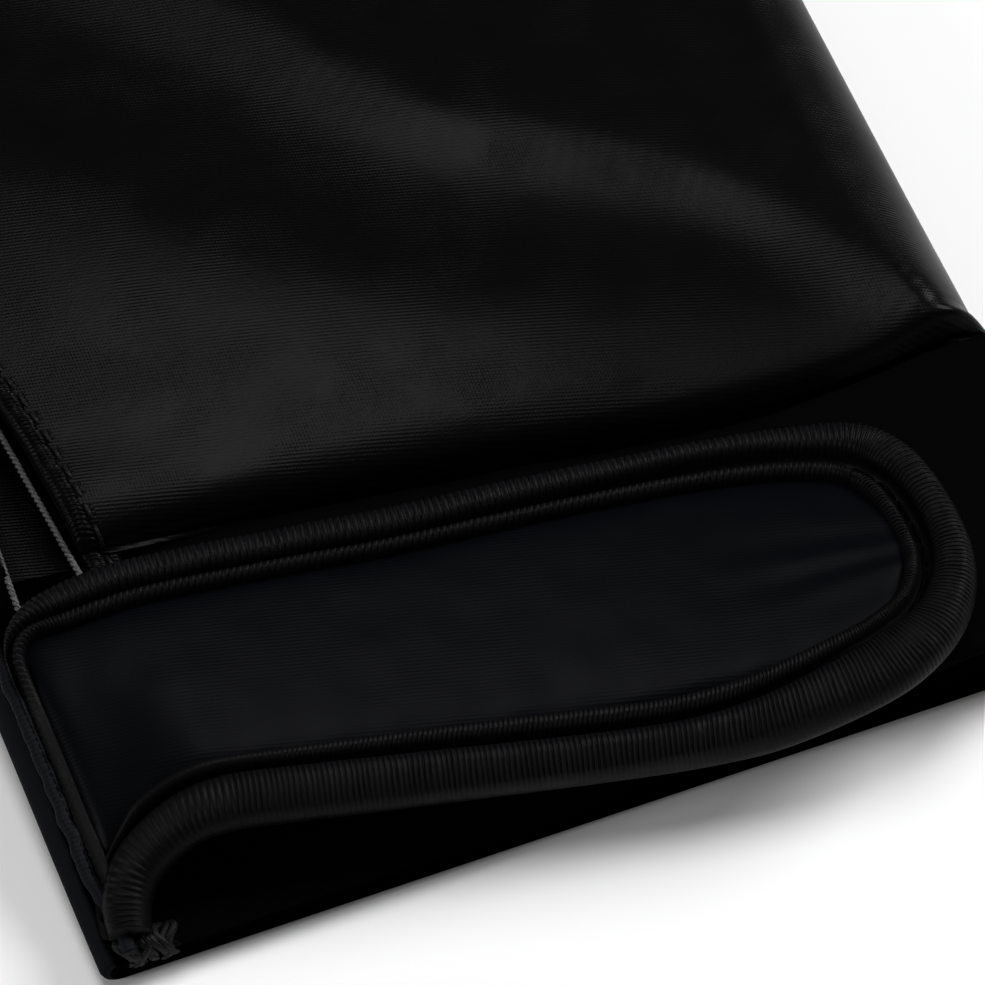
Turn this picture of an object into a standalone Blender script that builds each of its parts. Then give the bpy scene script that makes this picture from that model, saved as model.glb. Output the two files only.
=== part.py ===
"""A black stretch-cloth billiard glove, lying palm down, with a strap that closes at the wrist.

Lengths are in metres. +Y points to the fingertips, +X to the little finger's side and +Z up.
The origin lies on the resting plane, below the middle of the palm. The pieces are drawn from the middle
of the wrist seam, and one empty carries them all back by half the palm's length.
"""

import math

import bmesh
import bpy
from mathutils import Vector

MM = 0.001

# Cloth and clearances
CLOTH = 1.2 * MM
BAND_CLOTH = 1.4 * MM
GAP = 0.3 * MM

# Body of the glove
HAND_WIDTH = 90.8 * MM
PALM_LENGTH = 83.0 * MM
HAND_HEIGHT = 12.6 * MM
WRIST_HEIGHT = 7.6 * MM
SIDE_ROUND = 8.5 * MM
CROWN = 0.22
WIDEST_HEIGHT = 0.36
WRIST_ROUND = 0.45
SWEEP_SHARE = 0.3
FOLD_START = 2.0 * MM
FOLD_BLEND = 8.0 * MM

# Fingers and thumb
FINGER_WIDTH = 26.0 * MM
FINGER_HEIGHT = 9.8 * MM
INDEX_LENGTH = 76.0 * MM
MIDDLE_LENGTH = 86.0 * MM
FINGER_ROOT = 12.0 * MM
INDEX_LEAN = math.radians(5.0)
MIDDLE_LEAN = math.radians(-1.0)
INDEX_SIDE = 1.1 * MM
THUMB_LENGTH = 71.0 * MM
THUMB_WIDTH = 27.0 * MM
THUMB_HEIGHT = 9.4 * MM
THUMB_LEAN = math.radians(40.0)
THUMB_ROOT_X = 32.0 * MM
THUMB_ROOT_Y = 34.0 * MM
SHEATH_SIDE = 0.8
SHEATH_WIDEST = 0.4
TIP_FLATNESS = 0.3
WINDOW_DEPTH = 8.3 * MM

# Wristband, with its seam, hem and vent
BAND_LENGTH = 29.0 * MM
BAND_FLARE = 2.6 * MM
SEAM_SWEEP = 1.0 * MM
SEAM_SWEEP_LEFT = 5.0 * MM
VENT_LEFT = 4.1 * MM
VENT_WIDTH = 5.9 * MM
VENT_LENGTH = 27.0 * MM
VENT_TIP_WIDTH = 2.4 * MM
VENT_FLARE = 60.0 * MM
HEM_WIDTH = 2.0 * MM
HEM_THICKNESS = 1.9 * MM
VENT_DROP = 0.8 * MM

# Strap, its binding and its fastener
STRAP_LENGTH = 78.8 * MM
STRAP_WIDTH = 30.0 * MM
STRAP_TURN = math.radians(6.5)
STRAP_ROOT_X = 1.8 * MM
STRAP_ROOT_Y = 10.9 * MM
STRAP_RISE = 12.5 * MM
STRAP_DROOP = 2.4 * MM
STRAP_DROOP_WIDTH = 7.0 * MM
ROOT_HIGH = 8.6 * MM
ROOT_LOW = 4.5 * MM
ROOT_GAP = 0.5 * MM
PANEL_THICKNESS = 1.8 * MM
BINDING_WIDTH = 4.0 * MM
BINDING_HEIGHT = 3.0 * MM
ROLL_WIDTH = 1.9 * MM
ROLL_HEIGHT = 0.8 * MM
WELT_RADIUS = 0.8 * MM
FASTENER_LENGTH = 24.0 * MM
FASTENER_MARGIN = 7.0 * MM
FASTENER_THICKNESS = 0.6 * MM
TACK_LENGTH = 4.6 * MM
TACK_WIDTH = 2.4 * MM
TACK_HEIGHT = 3.2 * MM

# Palm sections from the wrist seam on. along: share of PALM_LENGTH. left, right: shares of half the
# hand's width. rise: share of the way from WRIST_HEIGHT up to HAND_HEIGHT.
PALM_ROWS = (
    # along, left, right, rise
    (0.000, 1.000, 1.035, 0.00),
    (0.022, 1.000, 1.005, 0.06),
    (0.085, 1.000, 1.000, 0.62),
    (0.180, 1.000, 1.000, 0.92),
    (0.380, 1.005, 1.000, 1.00),
    (0.620, 0.975, 1.000, 1.00),
    (0.820, 0.945, 1.005, 0.84),
    (1.000, 0.930, 0.985, 0.46),
)

# Finger and thumb sections. along: share of the length. width, height: shares of the full size.
FINGER_ROWS = (
    # along, width, height
    (0.00, 1.04, 0.90),
    (0.15, 1.05, 0.94),
    (0.32, 1.03, 1.02),
    (0.55, 1.00, 0.98),
    (0.78, 0.96, 0.92),
    (1.00, 0.88, 0.82),
)
THUMB_ROWS = (
    # along, width, height
    (0.00, 1.00, 0.80),
    (0.14, 1.14, 0.86),
    (0.30, 1.18, 0.96),
    (0.52, 1.04, 1.02),
    (0.75, 0.95, 0.98),
    (1.00, 0.84, 0.84),
)

# Folds on the back. Each crest runs through three points: x as a share of half the hand's width, y as
# a share of PALM_LENGTH. height: share of HAND_HEIGHT. near, far: widths of the slopes towards the
# wrist and towards the fingers, as shares of the hand's width.
FOLDS = (
    # x1, y1, x2, y2, x3, y3, height, near, far
    (-0.30, 0.76, 0.30, 0.36, 0.98, 0.10, 0.17, 0.075, 0.19),
    (-0.86, 0.58, 0.00, 0.15, 0.96, 0.07, 0.10, 0.070, 0.12),
    (-0.15, 0.50, 0.25, 0.26, 0.75, 0.12, -0.09, 0.060, 0.06),
    (-0.76, 0.14, -0.45, 0.115, 0.10, 0.08, 0.05, 0.035, 0.04),
)

PALM_STATIONS = 24
FINGER_STATIONS = 9
TIP_STATIONS = 6
TOP_STEPS = 26
BOTTOM_STEPS = 12
FINGER_TOP_STEPS = 12
FINGER_BOTTOM_STEPS = 6
WINDOW_STEPS = (12, 6)
SIDE_STATIONS = 18
ARC_STATIONS = 16

HALF_WIDTH = HAND_WIDTH / 2
ROOT_X = STRAP_ROOT_X - HALF_WIDTH
VENT_LEFT_X = VENT_LEFT - HALF_WIDTH
VENT_RIGHT_X = VENT_LEFT_X + VENT_WIDTH
STRAP_LEVEL = WRIST_HEIGHT + GAP + FASTENER_THICKNESS + GAP + PANEL_THICKNESS / 2


def clear_scene():
    for item in list(bpy.data.objects):
        bpy.data.objects.remove(item, do_unlink=True)


def new_collection(name):
    group = bpy.data.collections.new(name)
    bpy.context.scene.collection.children.link(group)
    return group


def seam_place(group):
    """The empty at the middle of the wrist seam, which carries every piece."""
    empty = bpy.data.objects.new("wrist_seam_place", None)
    empty.location = (0.0, -PALM_LENGTH / 2, 0.0)
    group.objects.link(empty)


def new_material(name, colour, roughness):
    material = bpy.data.materials.new(name)
    material.use_nodes = True
    shader = material.node_tree.nodes["Principled BSDF"]
    shader.inputs["Base Color"].default_value = (*colour, 1.0)
    shader.inputs["Roughness"].default_value = roughness
    shader.inputs["Metallic"].default_value = 0.0
    return material


def smooth(share):
    """Eases from 0 to 1."""
    t = min(1.0, max(0.0, share))
    return t * t * (3 - 2 * t)


def row_at(rows, along):
    """Reads a table of sections between its rows."""
    for low, high in zip(rows, rows[1:]):
        if along <= high[0]:
            share = max(0.0, (along - low[0]) / (high[0] - low[0]))
            return [a + (b - a) * share for a, b in zip(low[1:], high[1:])]
    return list(rows[-1][1:])


def link_mesh(name, mesh, group, material=None):
    data = bpy.data.meshes.new(name)
    mesh.to_mesh(data)
    mesh.free()
    data.shade_smooth()
    item = bpy.data.objects.new(name, data)
    group.objects.link(item)
    item.parent = bpy.data.objects["wrist_seam_place"]
    if material:
        data.materials.append(material)
    else:
        item.hide_render = True
        item.display_type = "WIRE"
    return item


def loft(name, rings, group, material=None, star_caps=True):
    """A closed body through rings with the same number of points, capped at both ends."""
    mesh = bmesh.new()
    loops = [[mesh.verts.new(point) for point in ring] for ring in rings]
    count = len(rings[0])
    for first, second in zip(loops, loops[1:]):
        for i in range(count):
            j = (i + 1) % count
            mesh.faces.new((first[i], first[j], second[j], second[i]))
    caps = [mesh.faces.new(loops[0][::-1]), mesh.faces.new(loops[-1])]
    if star_caps:
        bmesh.ops.poke(mesh, faces=caps)
    bmesh.ops.triangulate(mesh, faces=mesh.faces[:])
    bmesh.ops.recalc_face_normals(mesh, faces=mesh.faces[:])
    return link_mesh(name, mesh, group, material)


def combine(item, other, operation):
    """Adds or cuts another body with an exact Boolean."""
    modifier = item.modifiers.new(operation.lower() + "_" + other.name, "BOOLEAN")
    modifier.operation = operation
    modifier.object = other
    modifier.solver = "EXACT"


def round_share(distance, radius):
    """Height of a quarter round, from 0 at its edge to 1 at its radius."""
    d = min(1.0, max(0.0, distance / radius))
    return math.sqrt(1 - (1 - d) ** 2)


def side_steps(steps):
    """Places across a section from 1 to -1, closer together at the rounded sides."""
    return [math.cos(math.pi * i / steps) for i in range(steps + 1)]


def section(half_width, height_at, widest, side, inset, steps):
    """A flat-bottomed section with round sides: (across, up) pairs, over the top and back below."""
    half = half_width - inset
    points = []
    for share in side_steps(steps[0]):
        across = half * share
        top = height_at(across) - inset
        up = widest + (top - widest) * round_share(half - abs(across), side - inset)
        points.append((across, up))
    for share in side_steps(steps[1])[-2:0:-1]:
        across = half * share
        points.append((across, widest - (widest - inset) * round_share(half - abs(across), widest)))
    return points


def seam_y(x):
    """The wrist seam sweeps forward at both sides, more on the left, under the strap."""
    sweep = SEAM_SWEEP_LEFT if x < 0 else SEAM_SWEEP
    return sweep * (x / HALF_WIDTH) ** 2


def fold_height(x, y):
    """Relief of the folds on the back, gone at the wrist seam."""
    total = 0.0
    for x1, y1, x2, y2, x3, y3, height, near, far in FOLDS:
        a = Vector((x1 * HALF_WIDTH, y1 * PALM_LENGTH))
        b = Vector((x2 * HALF_WIDTH, y2 * PALM_LENGTH))
        c = Vector((x3 * HALF_WIDTH, y3 * PALM_LENGTH))
        best = None
        for i in range(25):
            t = i / 24
            crest = a * (1 - t) ** 2 + b * 2 * t * (1 - t) + c * t * t
            offset = Vector((x, y)) - crest
            if best is None or offset.length < best.length:
                best = offset
        width = (far if best.y > 0 else near) * HAND_WIDTH
        total += height * HAND_HEIGHT * math.exp(-((best.length / width) ** 2))
    return total * smooth((y - seam_y(x) - FOLD_START) / FOLD_BLEND)


def back_height(x, y):
    """Top of the body's back before its sides round down."""
    along = max(0.0, (y - seam_y(x)) / PALM_LENGTH)
    rise = row_at(PALM_ROWS, along)[2]
    height = WRIST_HEIGHT + (HAND_HEIGHT - WRIST_HEIGHT) * rise
    crown = CROWN * rise * min(1.0, abs(x) / HALF_WIDTH) ** 2
    return height * (1 - crown) + fold_height(x, y)


def palm_ring(along, inset, lift):
    """One palm section; the first ones follow the sweep of the wrist seam."""
    left, right, rise = row_at(PALM_ROWS, along)
    middle = (right - left) * HALF_WIDTH / 2
    half = (right + left) * HALF_WIDTH / 2
    fade = 1 - smooth(along / SWEEP_SHARE)
    widest = WIDEST_HEIGHT * WRIST_HEIGHT
    flat_y = along * PALM_LENGTH + lift

    def height_at(across):
        x = middle + across
        return back_height(x, flat_y + seam_y(x) * fade)

    side = SIDE_ROUND * (WRIST_ROUND + (1 - WRIST_ROUND) * rise)
    points = section(half, height_at, widest, side, inset, (TOP_STEPS, BOTTOM_STEPS))
    return [(middle + a, flat_y + seam_y(middle + a) * fade, up) for a, up in points]


def palm_stations(first, last):
    """Stations along the palm, closer together near the wrist, where the folds are."""
    return [first + (last - first) * (i / PALM_STATIONS) ** 1.35 for i in range(PALM_STATIONS + 1)]


def palm_body(name, inset, group, material=None):
    """The palm as a solid. A positive inset gives its hollow, which runs out through the wrist."""
    end = 1.0 - inset / PALM_LENGTH
    rings = [palm_ring(along, inset, GAP / 2) for along in palm_stations(0.0, end)]
    if inset > 0:
        rings.insert(0, [(x, y - BAND_LENGTH / 2, z) for x, y, z in rings[0]])
    return loft(name, rings, group, material)


def finger_body(name, rows, size, start, lean, inset, group, material=None):
    """A closed finger sheath as a solid, or its hollow where inset is the wall."""
    length, width, height = size
    ahead = Vector((-math.sin(lean), math.cos(lean), 0))
    across = Vector((math.cos(lean), math.sin(lean), 0))
    tip_radius = width * rows[-1][1] / 2
    straight = (length - tip_radius) / length
    rings = []
    for i in range(FINGER_STATIONS + TIP_STATIONS):
        if i < FINGER_STATIONS:
            along = straight * i / (FINGER_STATIONS - 1)
            shrink = 1.0
            reach = along * length
        else:
            turn = math.radians(84) * (i - FINGER_STATIONS + 1) / TIP_STATIONS
            along = straight + (1 - straight) * math.sin(turn)
            shrink = math.cos(turn)
            reach = straight * length + (tip_radius - inset) * math.sin(turn)
        row_width, row_height = row_at(rows, along)
        half = row_width * width / 2 * shrink + inset * (1 - shrink)
        tall = row_height * height * (TIP_FLATNESS + (1 - TIP_FLATNESS) * math.sqrt(shrink))
        points = section(half, lambda a, tall=tall: tall, SHEATH_WIDEST * tall,
                         min(half, tall * SHEATH_SIDE), inset, (FINGER_TOP_STEPS, FINGER_BOTTOM_STEPS))
        base = start + ahead * reach
        rings.append([base + across * a + Vector((0, 0, up)) for a, up in points])
    return loft(name, rings, group, material)


def finger_place(side_share, lean, root):
    """Start of a finger's axis, which passes the palm's far edge at a share of half the width."""
    ahead = Vector((-math.sin(lean), math.cos(lean), 0))
    return Vector((side_share * HALF_WIDTH, PALM_LENGTH, 0)) - ahead * root


def vent_right(y):
    """Right edge of the vent, which narrows from the seam to its tip."""
    return VENT_RIGHT_X - (VENT_WIDTH - VENT_TIP_WIDTH) * max(0.0, y) / VENT_LENGTH


def vent_cutter(group):
    """Cuts the vent through the back, with room for its hem, from the wrist edge to a round tip."""
    room = HEM_WIDTH + GAP
    outline = [(VENT_LEFT_X, -BAND_LENGTH / 2), (vent_right(0.0) + room, -BAND_LENGTH / 2)]
    outline.append((vent_right(0.0) + room, 0.0))
    radius = (vent_right(VENT_LENGTH) + room - VENT_LEFT_X) / 2
    for i in range(9):
        turn = math.pi * i / 8
        across = VENT_LEFT_X + radius + radius * math.cos(turn)
        outline.append((across, VENT_LENGTH - radius + radius * math.sin(turn)))
    low = WRIST_HEIGHT * 0.5
    high = HAND_HEIGHT * 2
    rings = [[(x, y, z) for x, y in outline] for z in (low, high)]
    return loft("vent_cutter", rings, group)


def window_cutter(group):
    """Opens the palm's far edge for the ring and little fingers."""
    left = window_left() + CLOTH
    right = row_at(PALM_ROWS, 1.0)[1] * HALF_WIDTH - CLOTH
    half = (right - left) / 2
    middle = (right + left) / 2
    rings = []
    for y in (PALM_LENGTH - WINDOW_DEPTH, PALM_LENGTH + WINDOW_DEPTH):
        points = section(half + CLOTH, lambda a: back_height(middle + a, PALM_LENGTH),
                         WIDEST_HEIGHT * WRIST_HEIGHT, SIDE_ROUND, CLOTH, WINDOW_STEPS)
        rings.append([(middle + a, y, up) for a, up in points])
    return loft("window_cutter", rings, group)


def index_axis():
    """Side share of the index finger's axis at the palm's far edge."""
    return -(HALF_WIDTH * row_at(PALM_ROWS, 1.0)[0] - INDEX_SIDE - FINGER_WIDTH / 2) / HALF_WIDTH


def middle_axis():
    """Side share of the middle finger's axis, one finger's width from the index finger."""
    return index_axis() + FINGER_WIDTH / HALF_WIDTH


def window_left():
    """Left side of the open edge, at the middle finger's right side."""
    return middle_axis() * HALF_WIDTH + FINGER_WIDTH / 2


def finger_forms():
    """Name, size, start and lean of each covered finger."""
    index = (INDEX_LENGTH + FINGER_ROOT, FINGER_WIDTH, FINGER_HEIGHT)
    middle = (MIDDLE_LENGTH + FINGER_ROOT, FINGER_WIDTH, FINGER_HEIGHT)
    return (
        ("index", index, finger_place(index_axis(), INDEX_LEAN, FINGER_ROOT), INDEX_LEAN),
        ("middle", middle, finger_place(middle_axis(), MIDDLE_LEAN, FINGER_ROOT), MIDDLE_LEAN),
    )


def hand_shell(group, cutters, material):
    """The body: palm, back, vent and the open far edge, with holes for the thumb and both fingers."""
    body = palm_body("hand_shell", 0.0, group, material)
    combine(body, palm_body("palm_hollow", CLOTH, cutters), "DIFFERENCE")
    for name, size, start, lean in finger_forms():
        hollow = finger_body(name + "_hollow", FINGER_ROWS, size, start, lean, CLOTH, cutters)
        combine(body, hollow, "DIFFERENCE")
    combine(body, window_cutter(cutters), "DIFFERENCE")
    combine(body, thumb_form("thumb_hollow", CLOTH, cutters), "DIFFERENCE")
    combine(body, vent_cutter(cutters), "DIFFERENCE")
    palm_body("palm_clearance", -GAP, cutters)
    return body


def finger_sheaths(group, cutters, material):
    """The index and middle finger's sheaths, sewn to the body's far edge and to each other."""
    index, middle = finger_forms()
    sheaths = finger_body("finger_sheaths", FINGER_ROWS, *index[1:], 0.0, group, material)
    combine(sheaths, finger_body("middle_outer", FINGER_ROWS, *middle[1:], 0.0, cutters), "UNION")
    combine(sheaths, bpy.data.objects["palm_clearance"], "DIFFERENCE")
    combine(sheaths, bpy.data.objects["index_hollow"], "DIFFERENCE")
    combine(sheaths, bpy.data.objects["middle_hollow"], "DIFFERENCE")
    return sheaths


def thumb_form(name, inset, group, material=None):
    start = Vector((-THUMB_ROOT_X, THUMB_ROOT_Y, 0))
    size = (THUMB_LENGTH, THUMB_WIDTH, THUMB_HEIGHT)
    return finger_body(name, THUMB_ROWS, size, start, THUMB_LEAN, inset, group, material)


def thumb_sheath(group, material):
    """The thumb, cut off where it meets the body."""
    thumb = thumb_form("thumb_sheath", 0.0, group, material)
    combine(thumb, bpy.data.objects["palm_clearance"], "DIFFERENCE")
    combine(thumb, bpy.data.objects["thumb_hollow"], "DIFFERENCE")
    return thumb


def strap_point(along, across):
    """A place on the strap, seen from above, from its own length and width."""
    x = ROOT_X + along * math.cos(STRAP_TURN) + across * math.sin(STRAP_TURN)
    y = -STRAP_ROOT_Y - along * math.sin(STRAP_TURN) + across * math.cos(STRAP_TURN)
    return x, y


def strap_start(across):
    """Distance along the strap to its start, which is parallel to the welt."""
    return (WELT_RADIUS + ROOT_GAP - across * math.sin(STRAP_TURN)) / math.cos(STRAP_TURN)


def root_height(y):
    """Height of the welt, which falls from the seam to the hem."""
    share = (y + BAND_LENGTH) / BAND_LENGTH
    return ROOT_LOW + (ROOT_HIGH - ROOT_LOW) * smooth(share)


def strap_height(x, y):
    """Middle of the strap's thickness: it climbs from the welt, and its lower edge droops."""
    low = root_height(y)
    climb = smooth((x - ROOT_X) / STRAP_RISE)
    across = (x - ROOT_X) * math.sin(STRAP_TURN) + (y + STRAP_ROOT_Y) * math.cos(STRAP_TURN)
    droop = STRAP_DROOP * smooth((STRAP_DROOP_WIDTH - across - STRAP_WIDTH / 2) / STRAP_DROOP_WIDTH)
    return low + (STRAP_LEVEL - droop - low) * climb


def on_strap(along, across):
    x, y = strap_point(along, across)
    return Vector((x, y, strap_height(x, y)))


def strap_normal(along, across):
    """Upward direction of the strap's surface."""
    step = 0.5 * MM
    along_edge = on_strap(along + step, across) - on_strap(along - step, across)
    across_edge = on_strap(along, across + step) - on_strap(along, across - step)
    return along_edge.cross(across_edge).normalized()


def sheet(name, segments, place, thickness, group, material):
    """A grid moved to its place and given a thickness."""
    mesh = bmesh.new()
    bmesh.ops.create_grid(mesh, x_segments=segments[0], y_segments=segments[1], size=1.0)
    for vertex in mesh.verts:
        vertex.co = place((vertex.co.x + 1) / 2, (vertex.co.y + 1) / 2)
    bmesh.ops.recalc_face_normals(mesh, faces=mesh.faces[:])
    item = link_mesh(name, mesh, group, material)
    modifier = item.modifiers.new("thickness", "SOLIDIFY")
    modifier.thickness = thickness
    modifier.offset = 0.0
    return item


def strap_panel(group, material):
    """The smooth middle of the strap, with a round free end."""
    half = STRAP_WIDTH / 2 - BINDING_WIDTH - GAP
    straight = STRAP_LENGTH - STRAP_WIDTH / 2
    tip_share = 0.3

    def place(u, v):
        across = (v * 2 - 1) * half
        if u < 1 - tip_share:
            begin = strap_start(across)
            return on_strap(begin + (straight - begin) * u / (1 - tip_share), across)
        turn = math.radians(80) * (u - 1 + tip_share) / tip_share
        return on_strap(straight + half * math.sin(turn), across * math.cos(turn))

    return sheet("strap_panel", (36, 12), place, PANEL_THICKNESS, group, material)


def binding_path():
    """Places (along, across, outward turn) down one side, round the tip and back."""
    side = (STRAP_WIDTH - BINDING_WIDTH) / 2
    straight = STRAP_LENGTH - STRAP_WIDTH / 2
    path = []
    begin = strap_start(side)
    for i in range(SIDE_STATIONS):
        path.append((begin + (straight - begin) * i / SIDE_STATIONS, side, math.pi / 2))
    for i in range(ARC_STATIONS + 1):
        turn = math.pi / 2 - math.pi * i / ARC_STATIONS
        path.append((straight + side * math.cos(turn), side * math.sin(turn), turn))
    begin = strap_start(-side)
    for i in range(1, SIDE_STATIONS + 1):
        path.append((straight + (begin - straight) * i / SIDE_STATIONS, -side, -math.pi / 2))
    return path


def binding_section():
    """The wrapped edge, a stitched groove and the narrow inner roll: (outward, up) pairs."""
    half = BINDING_WIDTH / 2
    low = -BINDING_HEIGHT * 0.44
    high = BINDING_HEIGHT * 0.56
    seat = PANEL_THICKNESS / 2 + GAP
    roll = seat + ROLL_HEIGHT
    return (
        (-half, low * 0.7),
        (-half * 0.7, low),
        (half * 0.6, low),
        (half, low * 0.4),
        (half, high * 0.4),
        (half * 0.6, high),
        (-half * 0.55, high),
        (-half, seat + ROLL_HEIGHT * 0.4),
        (-half - ROLL_WIDTH * 0.2, seat + ROLL_HEIGHT * 0.5),
        (-half - ROLL_WIDTH * 0.45, roll),
        (-half - ROLL_WIDTH * 0.8, roll),
        (-half - ROLL_WIDTH, seat + ROLL_HEIGHT * 0.4),
        (-half - ROLL_WIDTH, seat),
        (-half, seat),
    )


def strap_binding(group, material):
    """The ribbed tape round the strap's edge."""
    rings = []
    for along, across, turn in binding_path():
        ring = []
        for out, up in binding_section():
            place = (along + out * math.cos(turn), across + out * math.sin(turn))
            ring.append(on_strap(*place) + strap_normal(*place) * up)
        rings.append(ring)
    return loft("strap_binding", rings, group, material)


def welt_points():
    """The welt's line, from the wrist seam down to the hem."""
    high = -STRAP_ROOT_Y + STRAP_WIDTH / 2 - BINDING_WIDTH * 0.5
    points = []
    for i in range(15):
        y = high + (-BAND_LENGTH - high) * i / 14
        points.append((ROOT_X, y, root_height(y)))
    return points


def root_seam(group, material):
    """The raised seam at the strap's root."""
    curve = bpy.data.curves.new("root_seam", "CURVE")
    curve.dimensions = "3D"
    curve.bevel_depth = WELT_RADIUS
    curve.bevel_resolution = 2
    curve.use_fill_caps = True
    spline = curve.splines.new("POLY")
    points = welt_points()
    spline.points.add(len(points) - 1)
    for target, point in zip(spline.points, points):
        target.co = (*point, 1.0)
    item = bpy.data.objects.new("root_seam", curve)
    item.parent = bpy.data.objects["wrist_seam_place"]
    curve.materials.append(material)
    group.objects.link(item)
    return item


def band_section(y):
    """Outer line of the band and inward directions, from the welt round below to the vent: (x, z)."""
    radius = (root_height(y) - WELT_RADIUS - GAP * 1.2) / (1 + math.sin(math.radians(60)))
    right = WRIST_HEIGHT / 2
    right_x = HALF_WIDTH + BAND_FLARE - right
    left_x = radius - HALF_WIDTH
    end_x = vent_right(0.0) + HEM_WIDTH + GAP + VENT_FLARE * abs(y / BAND_LENGTH) ** 3
    path = []
    for i in range(9):
        turn = math.radians(60 - 150 * i / 8)
        inward = (math.cos(turn), -math.sin(turn))
        path.append((left_x - radius * inward[0], radius * (1 + math.sin(turn)), inward))
    for i in range(1, 14):
        path.append((left_x + (right_x - left_x) * i / 14, 0.0, (0.0, 1.0)))
    for i in range(13):
        turn = math.radians(-90 + 180 * i / 12)
        inward = (-math.cos(turn), -math.sin(turn))
        path.append((right_x - right * inward[0], right * (1 + math.sin(turn)), inward))
    for i in range(1, 15):
        share = i / 14
        drop = VENT_DROP * smooth((share - 0.8) / 0.2)
        path.append((right_x + (end_x - right_x) * share, WRIST_HEIGHT - drop, (0.0, -1.0)))
    return path


def wristband(group, material):
    """A band round the wrist, open at the vent, with a flat underside."""
    rings = []
    stations = 8
    for i in range(stations + 1):
        share = i / stations
        y = -BAND_LENGTH * (1 - share)
        path = band_section(y)
        outer = [(x, z) for x, z, _ in path]
        inner = [(x + n[0] * BAND_CLOTH, z + n[1] * BAND_CLOTH) for x, z, n in path]
        ring = []
        for x, z in outer + inner[::-1]:
            ring.append((x, y + (seam_y(x) - GAP / 2) * share ** 2, z))
        rings.append(ring)
    return loft("wristband", rings, group, material, star_caps=False)


def slit_hem(group, material):
    """The folded hem along the vent's right edge, set level with the back."""
    root = vent_right(0.0) + HEM_WIDTH / 2
    strap_edge = -STRAP_ROOT_Y + (STRAP_WIDTH / 2) / math.cos(STRAP_TURN)
    begin = strap_edge - (root - ROOT_X) * math.tan(STRAP_TURN) + GAP * 2
    end = VENT_LENGTH - (VENT_TIP_WIDTH + HEM_WIDTH)
    rings = []
    for i in range(13):
        y = begin + (end - begin) * i / 12
        middle = vent_right(y) + HEM_WIDTH / 2
        side = round_share(middle + HALF_WIDTH, SIDE_ROUND)
        top = back_height(middle, y) * (WIDEST_HEIGHT + (1 - WIDEST_HEIGHT) * side) + GAP
        ring = []
        for j in range(10):
            turn = 2 * math.pi * j / 10
            out = math.copysign(abs(math.cos(turn)) ** 0.6, math.cos(turn))
            up = math.copysign(abs(math.sin(turn)) ** 0.6, math.sin(turn))
            ring.append((middle + out * HEM_WIDTH / 2, y, top + (up - 1) * HEM_THICKNESS / 2))
        rings.append(ring)
    return loft("slit_hem", rings, group, material)


def box_piece(name, size, place, turn, bevel, group, material):
    """A small block with rounded edges."""
    mesh = bmesh.new()
    bmesh.ops.create_cube(mesh, size=1.0)
    bmesh.ops.scale(mesh, vec=size, verts=mesh.verts)
    bmesh.ops.bevel(mesh, geom=mesh.edges[:], offset=bevel, segments=3, profile=0.5, affect="EDGES")
    item = link_mesh(name, mesh, group, material)
    item.location = place
    item.rotation_euler = (0.0, 0.0, turn)
    return item


def touch_fastener(group, material):
    """The hook-and-loop patch between the band and the strap's free end."""
    straight = STRAP_LENGTH - STRAP_WIDTH / 2
    x, y = strap_point(straight - FASTENER_LENGTH * 0.25, 0.0)
    place = (x, y, WRIST_HEIGHT + GAP + FASTENER_THICKNESS / 2)
    size = (FASTENER_LENGTH, STRAP_WIDTH - FASTENER_MARGIN * 2, FASTENER_THICKNESS)
    return box_piece("touch_fastener", size, place, -STRAP_TURN, FASTENER_THICKNESS * 0.3, group, material)


def bar_tack(group, material):
    """The knot of thread at the lower end of the welt, against the hem."""
    place = (ROOT_X + TACK_LENGTH * 0.4, -BAND_LENGTH - GAP - TACK_WIDTH / 2, TACK_HEIGHT / 2)
    size = (TACK_LENGTH, TACK_WIDTH, TACK_HEIGHT)
    return box_piece("bar_tack", size, place, 0.0, TACK_WIDTH * 0.35, group, material)


def build():
    clear_scene()
    parts = new_collection("billiard_glove")
    cutters = new_collection("billiard_glove_cutters")
    seam_place(parts)
    cloth = new_material("stretch_cloth", (0.012, 0.012, 0.013), 0.75)
    smooth_cloth = new_material("band_cloth", (0.008, 0.008, 0.009), 0.70)
    panel = new_material("strap_cloth", (0.010, 0.011, 0.014), 0.60)
    tape = new_material("binding_tape", (0.011, 0.011, 0.012), 0.80)
    thread = new_material("black_thread", (0.010, 0.010, 0.010), 0.65)
    hook = new_material("fastener_pile", (0.015, 0.015, 0.015), 0.90)
    hand_shell(parts, cutters, cloth)
    finger_sheaths(parts, cutters, cloth.copy())
    thumb_sheath(parts, cloth.copy())
    wristband(parts, smooth_cloth)
    strap_panel(parts, panel)
    strap_binding(parts, tape)
    root_seam(parts, thread)
    bar_tack(parts, thread.copy())
    slit_hem(parts, tape.copy())
    touch_fastener(parts, hook)


build()
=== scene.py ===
"""The looks of a black stretch-cloth billiard glove, seen close up at the wrist.

Lengths are in metres. Shapes are drawn from the middle of the wrist seam, with +Y to the fingertips,
+X to the little finger's side and +Z up, and are then carried back by half the palm's length.
"""

import math

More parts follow.
